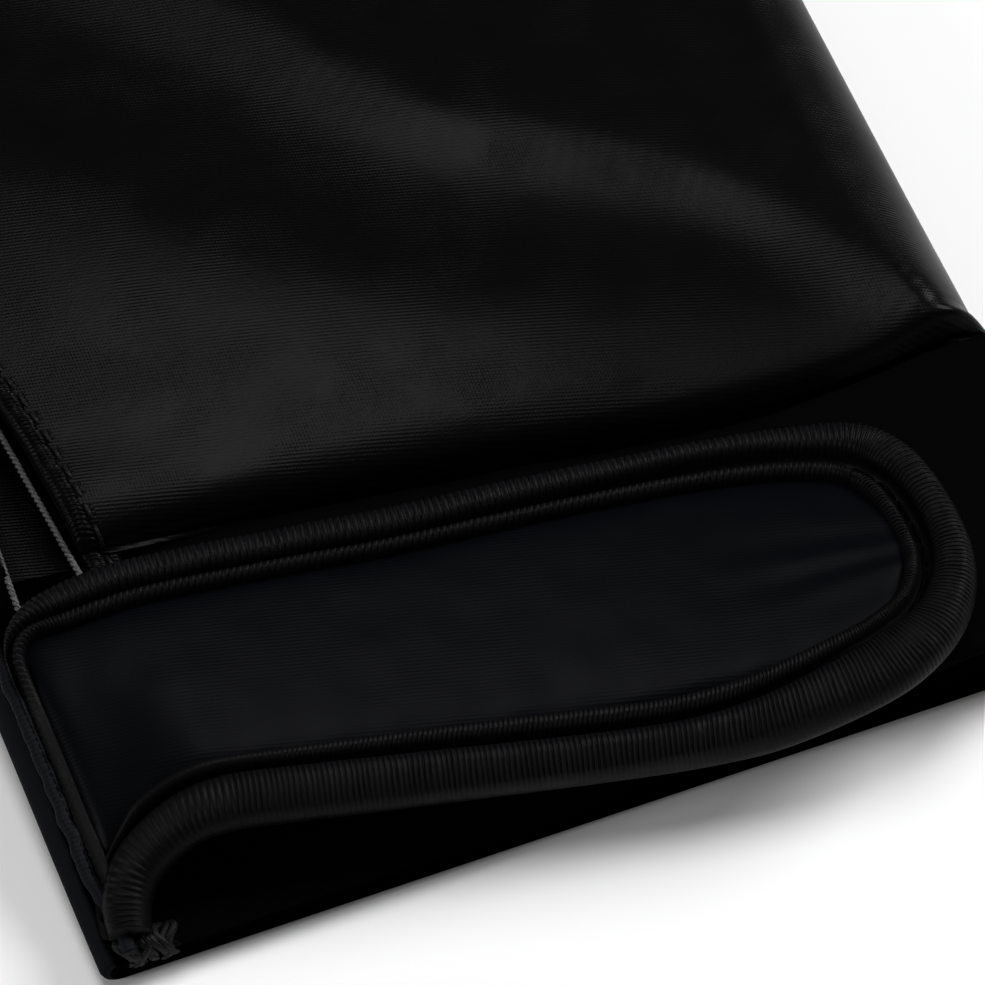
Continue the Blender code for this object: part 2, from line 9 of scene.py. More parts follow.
import bmesh
import bpy
import numpy as np
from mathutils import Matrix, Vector


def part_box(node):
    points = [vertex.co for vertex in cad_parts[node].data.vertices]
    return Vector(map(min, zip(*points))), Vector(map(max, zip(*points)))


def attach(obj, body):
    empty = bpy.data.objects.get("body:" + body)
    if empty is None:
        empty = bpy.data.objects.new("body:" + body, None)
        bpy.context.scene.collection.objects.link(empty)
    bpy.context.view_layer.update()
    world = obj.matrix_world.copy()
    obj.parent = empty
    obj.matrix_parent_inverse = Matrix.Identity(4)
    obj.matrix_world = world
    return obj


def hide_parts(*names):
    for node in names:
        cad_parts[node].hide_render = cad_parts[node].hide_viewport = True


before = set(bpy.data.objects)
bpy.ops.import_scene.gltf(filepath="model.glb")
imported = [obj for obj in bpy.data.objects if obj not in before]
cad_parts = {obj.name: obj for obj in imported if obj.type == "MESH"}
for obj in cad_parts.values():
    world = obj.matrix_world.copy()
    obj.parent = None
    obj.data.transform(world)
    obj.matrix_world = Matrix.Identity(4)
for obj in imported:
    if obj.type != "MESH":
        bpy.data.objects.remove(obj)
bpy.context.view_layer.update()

MM = 0.001

# Camera, as a target on the table, a heading from +Y towards +X, and a height above the horizon
VIEW_ANGLE = math.radians(10.0)
VIEW_HEADING = math.radians(21.0)
VIEW_ELEVATION = math.radians(56.56)
VIEW_DISTANCE = 483.08 * MM
VIEW_TARGET = (1.35 * MM, 4.73 * MM)

# Body of the glove
CLOTH = 1.2 * MM
GAP = 0.3 * MM
HAND_WIDTH = 90.8 * MM
PALM_LENGTH = 83 * MM
HAND_HEIGHT = 12.6 * MM
WRIST_HEIGHT = 7.6 * MM
SIDE_ROUND = 8.5 * MM
CROWN = 0.22
WIDEST_HEIGHT = 0.36
WIDEST_RISE = 0.6
ROUND_LEAST = 0.45
SWEEP_FADE = 0.35
FOLD_FADE = 1.5 * MM

# Fingers and thumb
FINGER_WIDTH = 26 * MM
FINGER_HEIGHT = 9.8 * MM
INDEX_LENGTH = 76 * MM
MIDDLE_LENGTH = 86 * MM
FINGER_ROOT = 12 * MM
INDEX_LEAN = math.radians(5.0)
MIDDLE_LEAN = math.radians(-1.0)
INDEX_SIDE = 1.1 * MM
THUMB_LENGTH = 71 * MM
THUMB_WIDTH = 27 * MM
THUMB_HEIGHT = 9.4 * MM
THUMB_LEAN = math.radians(40.0)
THUMB_ROOT_X = 32 * MM
THUMB_ROOT_Y = 34 * MM
FINGER_WIDEST = 0.40
FINGER_ROUND = 0.8
FINGER_RIPPLE = 0.35 * MM
TIP_TURN = math.radians(86)
TIP_HEIGHT = 0.30
SEAM_HEIGHT = 0.42

# Rings along a finger and round its tip, and steps over and below each ring
OUTER_DETAIL = (70, 24, 44, 16)
HOLLOW_DETAIL = (20, 12, 20, 10)

# Wristband and vent
BAND_CLOTH = 1.4 * MM
BAND_LENGTH = 29 * MM
BAND_FLARE = 2.6 * MM
HEM_DROP = 2.4 * MM
VENT_LEFT = 4.1 * MM
VENT_LENGTH = 27 * MM
VENT_FLARE = 60 * MM
VENT_DROP = 0.8 * MM
BAND_RIPPLE = 0.22 * MM
HEM_WIDTH = 2 * MM

# Strap
STRAP_LENGTH = 78.8 * MM
STRAP_WIDTH = 30 * MM
STRAP_TURN = math.radians(6.5)
STRAP_ROOT_X = 1.8 * MM
STRAP_ROOT_Y = 10.9 * MM
STRAP_RISE = 12.5 * MM
STRAP_LEVEL = 9.7 * MM
STRAP_DROOP = 2.4 * MM
STRAP_DROOP_WIDTH = 7 * MM
STRAP_TWIST = 0.13
ROOT_HIGH = 8.6 * MM
ROOT_LOW = 4.5 * MM
PANEL_THICKNESS = 1.8 * MM
WRINKLE = 0.09 * MM
PANEL_RIPPLE = 0.04 * MM
WELT_RADIUS = 0.6 * MM
WELT_FLAT = 0.8
WELT_WAVER = 0.16 * MM
WELT_SHIFT = 0.8 * MM
ROOT_STRIP = 1.3 * MM
LEFT_LEAN = 0.9 * MM

# Puff of the strap's panel, as heights and the distances from its rim over which they come
PANEL_PUFF = ((0.65 * MM, 1.2 * MM), (0.4 * MM, 5 * MM))

# Where a shape eases in, as the start and the length. The last three are shares, of the binding's outline
# or of its width.
RIGHT_FADE = (5 * MM, 35 * MM)
DROOP_FADE = (5 * MM, 25 * MM)
TWIST_FADE = (-5 * MM, 35 * MM)
WELT_FADE = (21 * MM, 8 * MM)
CORD_FADE = (15 * MM, 10 * MM)
PITCH_FADE = (0.43, 0.18)
LOW_FADE = (0.56, 0.11)
EDGE_FADE = (0.02, 0.3)

# Binding of the strap: an outer band, a groove and an inner roll. Starts and ends are shares of its length.
ROLL_WIDTH = 1.6 * MM
ROLL_TOP = 1.55 * MM
ROLL_START = 0.10
ROLL_END = 0.985
TAPE_LEAST = 0.1 * MM
TAPE_TOP = 1.75 * MM
TAPE_BOTTOM = -1.3 * MM
RIB_PITCH_TOP = 0.64 * MM
RIB_PITCH_LOW = 0.46 * MM
RIB_DEPTH = 0.24 * MM
RIB_SAMPLES = 6
RIBS_END = 0.955

# Seams and threads
STITCH_PITCH = 2 * MM
GROOVE_PITCH = 2.6 * MM
GATHER_PITCH = 0.42 * MM
GATHER_DEPTH = 0.24 * MM
SEAM_PROUD = 0.1 * MM
SEAM_THREAD = 0.35 * MM
HEM_THREAD = 0.19 * MM
FINE_THREAD = 0.16 * MM
GROOVE_THREAD = 0.15 * MM
KNOT_THREAD = 0.36 * MM
THREAD_SIDES = 8
CORD_RADIUS = 0.22 * MM
CORD_TWIST = 1.1 * MM
CORD_LEVEL = 7.9 * MM
LEFT_CORD_LEVEL = 7.4 * MM
KNOT_SHIFT = np.array((0.6, 2.6, 1.1)) * MM

HALF_WIDTH = HAND_WIDTH / 2
ROOT_X = STRAP_ROOT_X - HALF_WIDTH
VENT_LEFT_X = VENT_LEFT - HALF_WIDTH
BAND_END_X = HEM_WIDTH + GAP - 35.4 * MM

# Palm sections. along: share of PALM_LENGTH. left, right: shares of half the hand's width.
PALM_ROWS = np.array((
    # along, left, right
    (0, 1, 1.03), (0.012, 1, 1.012), (0.03, 1, 1), (0.38, 1.005, 1), (0.62, 0.975, 1),
    (0.82, 0.945, 1.005), (1, 0.93, 0.985),
))
FAR_RISE = 0.46
FALL_START = 0.2

# The cloth rises from the wrist seam, steeply at first. share of the rise, length over which it comes.
SEAM_RISE = ((0.34, 0.5 * MM), (0.28, 6.5 * MM), (0.38, 25.0 * MM))
RIGHT_STRETCH = 1.0

# The wrist seam, in millimetres: it sweeps forward to the left, under the strap.
SEAM_LINE = np.array((
    (-48, 6.6), (-40, 6.5), (-32.2, 6.1), (-24.6, 5.3), (-13.6, 3.9), (-0.7, 2.2), (6.1, 1.2), (13.7, 0),
    (21.6, -0.8), (27.1, -0.8), (33.3, -0.7), (37.5, -0.1), (41, 0.5), (44.8, 0.3), (50, 0.3),
))

# The middle of the vent's hem, in millimetres: it leans out to the left as it goes forward.
HEM_LINE = np.array(((2, -33.4), (6, -33.9), (12, -34.55), (17, -35.15), (22, -36.1), (27, -37.4)))

# The fingers' axes at the palm's far edge, as shares of half the hand's width
INDEX_AXIS = -(HALF_WIDTH * PALM_ROWS[-1, 1] - INDEX_SIDE - FINGER_WIDTH / 2) / HALF_WIDTH
MIDDLE_AXIS = INDEX_AXIS + FINGER_WIDTH / HALF_WIDTH

# Finger and thumb sections. along: share of the length. width, height: shares of the full size.
FINGER_ROWS = np.array((
    # along, width, height
    (0, 1.04, 0.9), (0.15, 1.05, 0.94), (0.32, 1.03, 1.02), (0.55, 1, 0.98), (0.78, 0.96, 0.92),
    (1, 0.88, 0.82),
))
THUMB_ROWS = np.array((
    # along, width, height
    (0, 1, 0.8), (0.14, 1.14, 0.86), (0.3, 1.18, 0.96), (0.52, 1.04, 1.02), (0.75, 0.95, 0.98),
    (1, 0.84, 0.84),
))

# Folds on the back, in millimetres. Each crest runs through its points. height: at the crest's start and
# end. near, far: widths of the slopes towards the wrist and towards the fingers, at the start and end.
# edge: 2 for a round slope, less for one that is steepest at its crest, near and far.
FOLDS = (
    # crest, height, near, far, edge
    (((-16, 72), (-12.5, 66), (-3.5, 54), (2.4, 45), (8.4, 37), (16, 32), (23.6, 27), (30.7, 21),
      (36.5, 13), (39.7, 7.4), (43.5, 1.5), (50, -6)), (1.6, 1.1), (6.5, 4.2), (13, 12), (2.0, 1.6)),
    (((-40, 54), (-32, 45), (-26, 38.5), (-19, 31), (-12.7, 24), (-5.4, 18.5), (1.6, 13.8), (9.2, 10.6),
      (17, 7.8), (25, 5.6), (33, 4.2), (40, 2.8)), (1.7, 1.3), (18, 16), (11, 9), (2.0, 2.0)),
    (((-34, 10.2), (-30.3, 9.6), (-23, 8.1), (-14.4, 7.2), (-5.9, 6.4), (2.7, 5.5), (11.2, 4.4)),
     (0.5, 0.1), (2.6, 2.2), (4.0, 3.5), (2.0, 2.0)),
)

# Outline of the strap, from the top of its root round the tip and back. along: share of STRAP_LENGTH.
# across: share of half the strap's width. wide: width of the whole binding, as a share of STRAP_WIDTH.
STRAP_EDGE = np.array((
    # along, across, wide
    (0.022, -0.85, 0.05), (0.014, -0.6, 0.05), (-0.004, 0, 0.05), (-0.017, 0.4, 0.052),
    (-0.02, 0.58, 0.064), (-0.015, 0.73, 0.088), (0.002, 0.86, 0.122), (0.032, 0.95, 0.148),
    (0.08, 0.998, 0.158), (0.155, 1.015, 0.158), (0.3, 1, 0.158), (0.42, 0.985, 0.16),
    (0.64, 1.01, 0.162), (0.76, 1.02, 0.17), (0.85, 1.015, 0.195), (0.92, 0.955, 0.225),
    (0.962, 0.8, 0.235), (0.987, 0.49, 0.215), (0.997, 0.05, 0.207), (0.989, -0.273, 0.21),
    (0.962, -0.56, 0.22), (0.918, -0.775, 0.232), (0.855, -0.915, 0.235), (0.75, -0.985, 0.213),
    (0.65, -0.965, 0.19), (0.54, -0.915, 0.187), (0.34, -0.83, 0.195), (0.24, -0.785, 0.2),
    (0.165, -0.757, 0.205), (0.12, -0.765, 0.205), (0.085, -0.835, 0.205), (0.07, -0.93, 0.2),
    (0.064, -1.03, 0.19), (0.062, -1.12, 0.18),
))

# The groove between the binding's band and its roll. along: share of the outline's length.
GROOVE_ROWS = np.array((
    # along, width in millimetres
    (0, 0.1), (0.13, 0.25), (0.3, 0.3), (0.37, 0.7), (0.44, 1.3), (0.51, 1.7), (0.56, 1.5), (0.61, 0.8),
    (0.65, 0.35), (1, 0.3),
))

# Sections of the binding's band and roll, and of the vent's hem. place: share of the width, from its
# outer edge. height: share of its top or bottom, or millimetres for the hem. ribbed: share of the ribs.
TAPE_PLACE, TAPE_HEIGHT, TAPE_RIBBED = np.array((
    (0.16, -1, 0), (0.04, -0.72, 0.2), (0, -0.35, 0.5), (0.01, 0.05, 0.8), (0.05, 0.38, 1),
    (0.12, 0.65, 1), (0.22, 0.85, 1), (0.34, 0.96, 1), (0.47, 1, 1), (0.6, 1, 1), (0.72, 0.97, 1),
    (0.83, 0.9, 1), (0.92, 0.74, 0.9), (0.98, 0.48, 0.6), (1, 0.18, 0.2),
)).T
ROLL_PLACE, ROLL_HEIGHT, ROLL_RIBBED = np.array((
    (0, 0.42, 0.3), (0.05, 0.66, 0.7), (0.14, 0.84, 1), (0.27, 0.96, 1), (0.41, 1, 1), (0.55, 0.97, 1),
    (0.68, 0.88, 1), (0.78, 0.72, 0.8), (0.84, 0.48, 0.3), (0.86, 0.2, 0), (0.84, -0.1, 0),
)).T
HEM_PLACE, HEM_HEIGHT, HEM_RIBBED = np.array((
    (0, -0.9, 0), (-0.06, -0.55, 0.5), (-0.02, -0.15, 1), (0.08, 0.18, 1), (0.24, 0.38, 1),
    (0.44, 0.46, 1), (0.62, 0.42, 1), (0.76, 0.3, 1), (0.86, 0.12, 1), (0.92, -0.06, 0.7),
    (0.97, -0.2, 0.3), (1, -0.25, 0), (1.03, -0.18, 0.3), (1.08, -0.08, 0.5), (1.16, 0.02, 0.4),
    (1.28, -0.02, 0.3), (1.44, -0.12, 0.1), (1.6, -0.4, 0), (1.3, -0.8, 0), (0.8, -1.3, 0),
    (0.3, -1.3, 0),
)).T

# Knits, tape and threads, with pitches and depths in millimetres. pitch: of a knit's courses and wales, or
# of a thread's twist. along, across: directions square to the courses and to the wales.
COURSE_TURN = math.radians(15.0)
COURSES = (math.sin(COURSE_TURN), math.cos(COURSE_TURN), 0)
STRAP_ACROSS = (math.sin(STRAP_TURN), math.cos(STRAP_TURN), 0)
KNITS = {
    # name: dark and light colour, pitch, along, across, depth of bump, specular, roughness, painted light
    # that makes it lighter
    "stretch_knit": ((0.0006, 0.0006, 0.0006), (0.0016, 0.0016, 0.0016), (0.32, 0.28),
                     COURSES, (1, 0, 0), 0.012, 0.046, 0.30),
    "band_knit": ((0.0005, 0.0005, 0.0005), (0.0060, 0.0064, 0.0078), (0.30, 0.30),
                  (0, 1, 0), (1, 0, 0), 0.010, 0.006, 0.60, "paler_painted_light"),
    "strap_knit": ((0.0006, 0.0007, 0.0012), (0.0013, 0.0016, 0.0025), (0.33, 0.33),
                   COURSES, STRAP_ACROSS, 0.006, 0.035, 0.42),
    "welt_cloth": ((0.0030, 0.0034, 0.0042), (0.0070, 0.0075, 0.0090), (0.40, 0.40),
                   (0, 1, 0), (0, 0, 1), 0.006, 0.03, 0.50),
}
THREADS = {
    # name: dark and light colour, pitch of the twist, depth of bump, specular, roughness
    "seam_thread": ((0.0005, 0.0005, 0.0006), (0.0018, 0.0018, 0.0020), 0.22, 0.02, 0.02, 0.60),
    "black_thread": ((0.0020, 0.0020, 0.0022), (0.0060, 0.0060, 0.0065), 0.22, 0.03, 0.10, 0.45),
    "overlock_thread": ((0.030, 0.030, 0.031), (0.120, 0.120, 0.125), 0.22, 0.05, 0.30, 0.60),
    "hook_pile": ((0.003, 0.003, 0.003), (0.008, 0.008, 0.008), 0.40, 0.15, 0.10, 0.90),
}
# dark and light colour, depth of bump, specular, roughness
TAPE = ((0.0003, 0.0003, 0.0004), (0.0054, 0.0054, 0.0064), 0.10, 0.05, 0.42)

# Tones: of the band, what is added where it turns up at the left (lighter cloth with painted light on the
# wall that faces the left), and of the tape where its ribs fade out (smoother tape with painted shade)
BAND_TONE = 0.08
TURNED_PALE_AND_LIT_TONE = 0.9
SMOOTH_AND_SHADED_TONE = 0.4

# Stage
WORLD_LIGHT = 0.16
PAPER = (0.92, 0.92, 0.92, 1)
FLOOR_HALF = 6.0
LIGHTS = (
    # name, place, size across, power
    ("softbox_above", (0.0, 0.34, 1.36), 0.7, 8.6),
    ("softbox_right", (1.09, 0.19, 0.86), 0.7, 15.5),
    ("fill_left", (-1.28, -0.10, 0.50), 0.5, 6.0),
)

TURN = 2 * math.pi


def smooth(share):
    """Eases from 0 to 1."""
    t = np.clip(share, 0.0, 1.0)
    return t * t * (3 - 2 * t)


def ease(value, fade):
    """Eases from 0 to 1 from a start over a length."""
    start, length = fade
    return smooth((value - start) / length)


def rows_at(rows, column, along):
    """A table's column at a share of the length."""
    return np.interp(along, rows[:, 0], rows[:, column])


def round_share(distance, radius):
    """Height of a quarter round, from 0 at its edge to 1 at its radius."""
    d = np.clip(distance / radius, 0.0, 1.0)
    return np.sqrt(1 - (1 - d) ** 2)


def headings(path):
    """Unit directions along a path."""
    ahead = np.gradient(path, axis=0)
    return ahead / np.linalg.norm(ahead, axis=1, keepdims=True)


def distances(path):
    """Distance of each point of a path from its start, along the path."""
    return np.concatenate(([0.0], np.cumsum(np.linalg.norm(np.diff(path, axis=0), axis=1))))


def places_on(path, reach, wanted):
    """Places on a path at wanted distances, where reach is each point's own distance."""
    return np.stack([np.interp(wanted, reach, line) for line in path.T], -1)


def curve_through(points, count):
    """Evenly spaced places on a smooth curve through a few points."""
    p = np.asarray(points, dtype=float)
    p = np.vstack((2 * p[0] - p[1], p, 2 * p[-1] - p[-2]))
    steps = np.linspace(0, 1, 24, endpoint=False)[:, None]
    fine = []
    for a, b, c, d in zip(p, p[1:], p[2:], p[3:]):
        fine.append(0.5 * (2 * b + (c - a) * steps + (2 * a - 5 * b + 4 * c - d) * steps ** 2
                           + (3 * b - a - 3 * c + d) * steps ** 3))
    fine.append(p[-2:-1])
    fine = np.vstack(fine)
    reach = distances(fine)
    return places_on(fine, reach, np.linspace(0, reach[-1], count))


def wave_noise(x, y, scale, seed):
    """A smooth uneven field from a few sine waves, between about -1 and 1."""
    rng = np.random.default_rng(seed)
    total = np.zeros(np.broadcast(x, y).shape)
    for _ in range(7):
        angle, phase = rng.uniform(0, TURN, 2)
        rate = TURN / scale * rng.uniform(0.6, 1.5)
        total = total + np.sin((x * math.cos(angle) + y * math.sin(angle)) * rate + phase)
    return total / 4


# Meshes


def grid_faces(rows, columns, wrap):
    """Quads of a grid of points, row by row. wrap closes each row into a ring."""
    across = columns if wrap else columns - 1
    i, j = np.meshgrid(np.arange(rows - 1), np.arange(across), indexing="ij")
    k = (j + 1) % columns
    quads = np.stack((i * columns + j, i * columns + k, (i + 1) * columns + k, (i + 1) * columns + j), -1)
    return quads.reshape(-1, 4)


def new_object(name, data):
    """An object in the scene."""
    item = bpy.data.objects.new(name, data)
    bpy.context.scene.collection.objects.link(item)
    return item


def new_mesh(name, points, faces):
    """A mesh object, moved from the wrist seam's place to the part's origin."""
    places = np.array(points, dtype=float).reshape(-1, 3)
    places[:, 1] -= PALM_LENGTH / 2
    data = bpy.data.meshes.new(name)
    data.from_pydata(places.tolist(), [], [list(map(int, face)) for face in faces])
    data.update()
    return new_object(name, data)


def outward(item):
    """Turns the faces of a closed mesh outward and shades it smooth."""
    mesh = bmesh.new()
    mesh.from_mesh(item.data)
    bmesh.ops.recalc_face_normals(mesh, faces=mesh.faces[:])
    mesh.to_mesh(item.data)
    mesh.free()
    item.data.shade_smooth()
    return item


def loft(name, rings, fan=False):
    """A closed body through rings of points, with a cap at each end."""
    rings = np.asarray(rings, dtype=float)
    rows, columns = rings.shape[:2]
    points = rings.reshape(-1, 3)
    faces = grid_faces(rows, columns, True).tolist()
    first = list(range(columns))
    last = list(range((rows - 1) * columns, rows * columns))
    if fan:
        points = np.vstack((points, rings[0].mean(0), rings[-1].mean(0)))
        for ring, middle in ((first, rows * columns), (last, rows * columns + 1)):
            faces += [[a, b, middle] for a, b in zip(ring, ring[1:] + ring[:1])]
    else:
        faces += [first, last]
    return outward(new_mesh(name, points, faces))


def tubes(name, paths, radius):
    """Round threads with tapered ends, one for each path, in one mesh."""
    sides = THREAD_SIDES
    points = []
    faces = []
    for path in paths:
        ahead = headings(path)
        side = np.cross(ahead, (0.0, 0.0, 1.0))
        side /= np.maximum(np.linalg.norm(side, axis=1, keepdims=True), 1e-9)
        rise = np.cross(side, ahead)
        steps = np.arange(len(path))
        taper = round_share(np.minimum(steps, steps[::-1]) + 0.35, 2.0)
        turns = (np.arange(sides) / sides * TURN)[:, None]
        ring = side[:, None] * np.cos(turns) + rise[:, None] * np.sin(turns)
        start = sum(len(p) for p in points)
        points.append((path[:, None] + ring * (radius * taper)[:, None, None]).reshape(-1, 3))
        faces += (grid_faces(len(path), sides, True) + start).tolist()
        faces.append(list(range(start, start + sides)))
        faces.append(list(range(start + (len(path) - 1) * sides, start + len(path) * sides)))
    return outward(new_mesh(name, np.vstack(points), faces))


def paint(item, name, values):
    """Keeps a number for each point of a mesh, for its material to read."""
    kept = item.data.attributes.new(name, "FLOAT", "POINT")
    kept.data.foreach_set("value", np.ravel(values).astype(np.float32))


def combine(item, other, operation="DIFFERENCE"):
    """Cuts or adds another body, which is then removed."""
    modifier = item.modifiers.new(operation.lower(), "BOOLEAN")
    modifier.operation = operation
    modifier.object = other
    modifier.solver = "MANIFOLD"
    graph = bpy.context.evaluated_depsgraph_get()
    data = bpy.data.meshes.new_from_object(item.evaluated_get(graph))
    item.modifiers.clear()
    item.data = data
    bpy.data.objects.remove(other, do_unlink=True)


def dress(item, material, slot, *nodes):
    """Gives a piece its material, and sets it in place of the nodes that it stands for. Its slot is not
    used.
    """
    item.data.materials.clear()
    item.data.materials.append(material)
    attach(item, "root")
    if nodes:
        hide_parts(*nodes)


# Materials


class Nodes:
    """A material's node tree, with short calls for the nodes that the cloths share."""

    def __init__(self, name):
        self.material = bpy.data.materials.new(name)
        self.material.use_nodes = True
        self.tree = self.material.node_tree
        self.shader = self.tree.nodes["Principled BSDF"]
        self.place = self.add("ShaderNodeTexCoord").outputs["Object"]

    def add(self, kind, **settings):
        """A node of a kind, with its settings."""
        node = self.tree.nodes.new(kind)
        for key, value in settings.items():
            setattr(node, key, value)
        return node

    def link(self, source, target):
        """Joins an output to an input."""
        self.tree.links.new(source, target)

    def math(self, operation, first, second=None):
        """The result of an operation on outputs or numbers."""
        node = self.add("ShaderNodeMath", operation=operation)
        for socket, value in zip(node.inputs, (first, second)):
            if isinstance(value, (int, float)):
                socket.default_value = value
            elif value is not None:
                self.link(value, socket)
        return node.outputs[0]

    def times(self, first, second):
        """Product of two sockets or numbers."""
        return self.math("MULTIPLY", first, second)

    def plus(self, first, second):
        """Sum of two sockets or numbers."""
        return self.math("ADD", first, second)

    def noise(self, scale, detail=2.0, stretch=(1.0, 1.0, 1.0)):
        """Noise with a size in metres, drawn out along an axis by its stretch."""
        mapping = self.add("ShaderNodeMapping")
        mapping.inputs["Scale"].default_value = [1 / (scale * s) for s in stretch]
        self.link(self.place, mapping.inputs["Vector"])
        node = self.add("ShaderNodeTexNoise")
        node.inputs["Scale"].default_value = 1.0
        node.inputs["Detail"].default_value = detail
        self.link(mapping.outputs[0], node.inputs["Vector"])
        return node.outputs["Fac"]

    def painted(self, name):
        """A number that was kept for the mesh's points."""
        return self.add("ShaderNodeAttribute", attribute_name=name).outputs["Fac"]

    def axis(self, direction):
        """Distance along a direction, in metres."""
        node = self.add("ShaderNodeVectorMath", operation="DOT_PRODUCT")
        self.link(self.place, node.inputs[0])
        node.inputs[1].default_value = direction
        return node.outputs["Value"]

    def wave(self, distance, pitch, wander, amount):
        """A sine from -1 to 1 over a distance, moved by a noise that wanders by some pitches."""
        phase = self.times(distance, TURN / pitch)
        return self.math("SINE", self.plus(phase, self.times(wander, TURN * amount)))

    def ramp(self, value, low, high, start=0.0, end=1.0):
        """Maps a value from a range to another one."""
        node = self.add("ShaderNodeMapRange")
        self.link(value, node.inputs["Value"])
        for name, number in (("From Min", low), ("From Max", high), ("To Min", start), ("To Max", end)):
            node.inputs[name].default_value = number
        return node.outputs["Result"]

    def colour(self, value, dark, light):
        """Mixes the base colour from dark to light."""
        node = self.add("ShaderNodeMix", data_type="RGBA")
        self.link(value, node.inputs["Factor"])
        node.inputs["A"].default_value = (*dark, 1.0)
        node.inputs["B"].default_value = (*light, 1.0)
        self.link(node.outputs["Result"], self.shader.inputs["Base Color"])

    def bump(self, height, depth):
        """Adds a layer of bump over the ones before it, with its depth in millimetres."""
        node = self.add("ShaderNodeBump")
        node.inputs["Distance"].default_value = depth * MM
        self.link(height, node.inputs["Height"])
        normal = self.shader.inputs["Normal"]
        if normal.is_linked:
            self.link(normal.links[0].from_socket, node.inputs["Normal"])
        self.link(node.outputs["Normal"], normal)

    def finish(self, specular, roughness, spread=0.06, patch=3 * MM):
        """Sets the gloss, with a roughness that changes in patches."""
        self.shader.inputs["Specular IOR Level"].default_value = specular
        rough = self.ramp(self.noise(patch), 0.3, 0.7, roughness - spread, roughness + spread)
        self.link(rough, self.shader.inputs["Roughness"])
        return self.material


def knit_material(name, dark, light, pitch, along, across, depth, specular, roughness, paler_painted_light=None):
    """Fine knit: courses of loops along a direction and wales across, lighter where a painted light is kept,
    if asked.
    """
    m = Nodes(name)
    wander = m.noise(6 * MM, 3.0)
    rows = m.wave(m.axis(along), pitch[0] * MM, wander, 0.35)
    loops = m.wave(m.axis(across), pitch[1] * MM, wander, 0.6)
    fibre = m.noise(0.16 * MM, 3.0, (1.6, 1.0, 1.0))
    even = m.ramp(m.noise(7 * MM, 3.0), 0.38, 0.62, 0.12, 0.55)
    crossed = m.times(m.times(loops, rows), 0.6)
    height = m.times(m.plus(rows, crossed), even)
    height = m.plus(height, m.times(fibre, 1.3))
    m.bump(height, depth)
    m.bump(m.noise(2.4 * MM), depth * 2)
    tone = m.ramp(m.plus(rows, fibre), -1.0, 2.0)
    # Painted light: the colour goes lighter where the mesh keeps it
    if paler_painted_light:
        tone = m.times(m.plus(tone, 0.5), m.painted(paler_painted_light))
    m.colour(tone, dark, light)
    return m.finish(specular, roughness, 0.02, 5 * MM)


def thread_material(name, dark, light, twist, depth, specular, roughness):
    """Thread: fine fibres with a slanted twist."""
    m = Nodes(name)
    strands = m.wave(m.axis((0.8, 0.5, 0.35)), twist * MM, m.noise(1.5 * MM), 0.8)
    fibre = m.noise(0.12 * MM, 3.0)
    m.bump(m.plus(m.times(strands, 0.4), fibre), depth)
    m.colour(m.ramp(fibre, 0.3, 0.7), dark, light)
    return m.finish(specular, roughness)


def tape_material(name, dark, light, depth, specular, roughness):
    """Elastic tape with cross ribs, which run where the mesh says, with painted shade in the gaps between
    them, and darker where they fade out: smoother tape at its ends, and painted shade in its groove and on
    its low wall.
    """
    m = Nodes(name)
    phase = m.plus(m.painted("rib"), m.times(m.noise(1.2 * MM), 0.5))
    rib = m.math("ABSOLUTE", m.math("SINE", m.times(phase, math.pi)))
    shown = m.painted("ribbed")
    fibre = m.noise(0.13 * MM, 3.0)
    ridge = m.times(m.math("POWER", rib, 0.7), shown)
    m.bump(m.plus(ridge, m.times(fibre, 0.35)), depth)
    # Painted shade: darker in the gaps between the ribs, and where they fade out, in the groove and on the
    # low wall; the smooth ends are darker tape too
    gap_shade = m.times(m.ramp(rib, 0.55, 0.1), shown)
    tone = m.times(m.ramp(fibre, 0.25, 0.75, 0.45, 1.0), m.math("SUBTRACT", 1.0, gap_shade))
    tone = m.times(tone, m.ramp(shown, 0.0, 0.8, SMOOTH_AND_SHADED_TONE, 1.0))
    m.colour(tone, dark, light)
    return m.finish(specular, roughness)


# Body of the glove


def seam_y(x):
    """How far forward the wrist seam is."""
    x = np.asarray(x, dtype=float)
    near = [np.interp(x / MM + shift, SEAM_LINE[:, 0], SEAM_LINE[:, 1]) for shift in (-3, -1.5, 0, 1.5, 3)]
    return sum(near) / len(near) * MM


def rise_at(distance):
    """Share of the way from WRIST_HEIGHT up to HAND_HEIGHT, at a distance from the wrist seam."""
    d = np.maximum(0.0, distance)
    rolled = 1 - sum(share * np.exp(-d / length) for share, length in SEAM_RISE)
    return rolled * (1 - (1 - FAR_RISE) * smooth((d / PALM_LENGTH - FALL_START) / (1 - FALL_START)))


def fold_height(x, y):
    """Relief of the folds on the back, gone at the wrist seam."""
    total = np.zeros_like(x)
    for points, *ends, (edge_near, edge_far) in FOLDS:
        crest = curve_through(points, 70) * MM
        ahead = headings(crest)
        offset_x = x[..., None] - crest[:, 0]
        offset_y = y[..., None] - crest[:, 1]
        distance = np.hypot(offset_x, offset_y)
        nearest = distance.argmin(-1)
        pick = nearest[..., None]
        fields = (distance, offset_x, offset_y)
        d, dx, dy = (np.take_along_axis(field, pick, -1)[..., 0] for field in fields)
        left = ahead[nearest, 0] * dy - ahead[nearest, 1] * dx > 0
        share = nearest / (len(crest) - 1)
        height, near, far = (np.interp(share, (0, 1), pair) * MM for pair in ends)
        total += height * np.exp(-((d / np.where(left, far, near)) ** np.where(left, edge_far, edge_near)))
    return total * smooth((y - seam_y(x)) / FOLD_FADE)


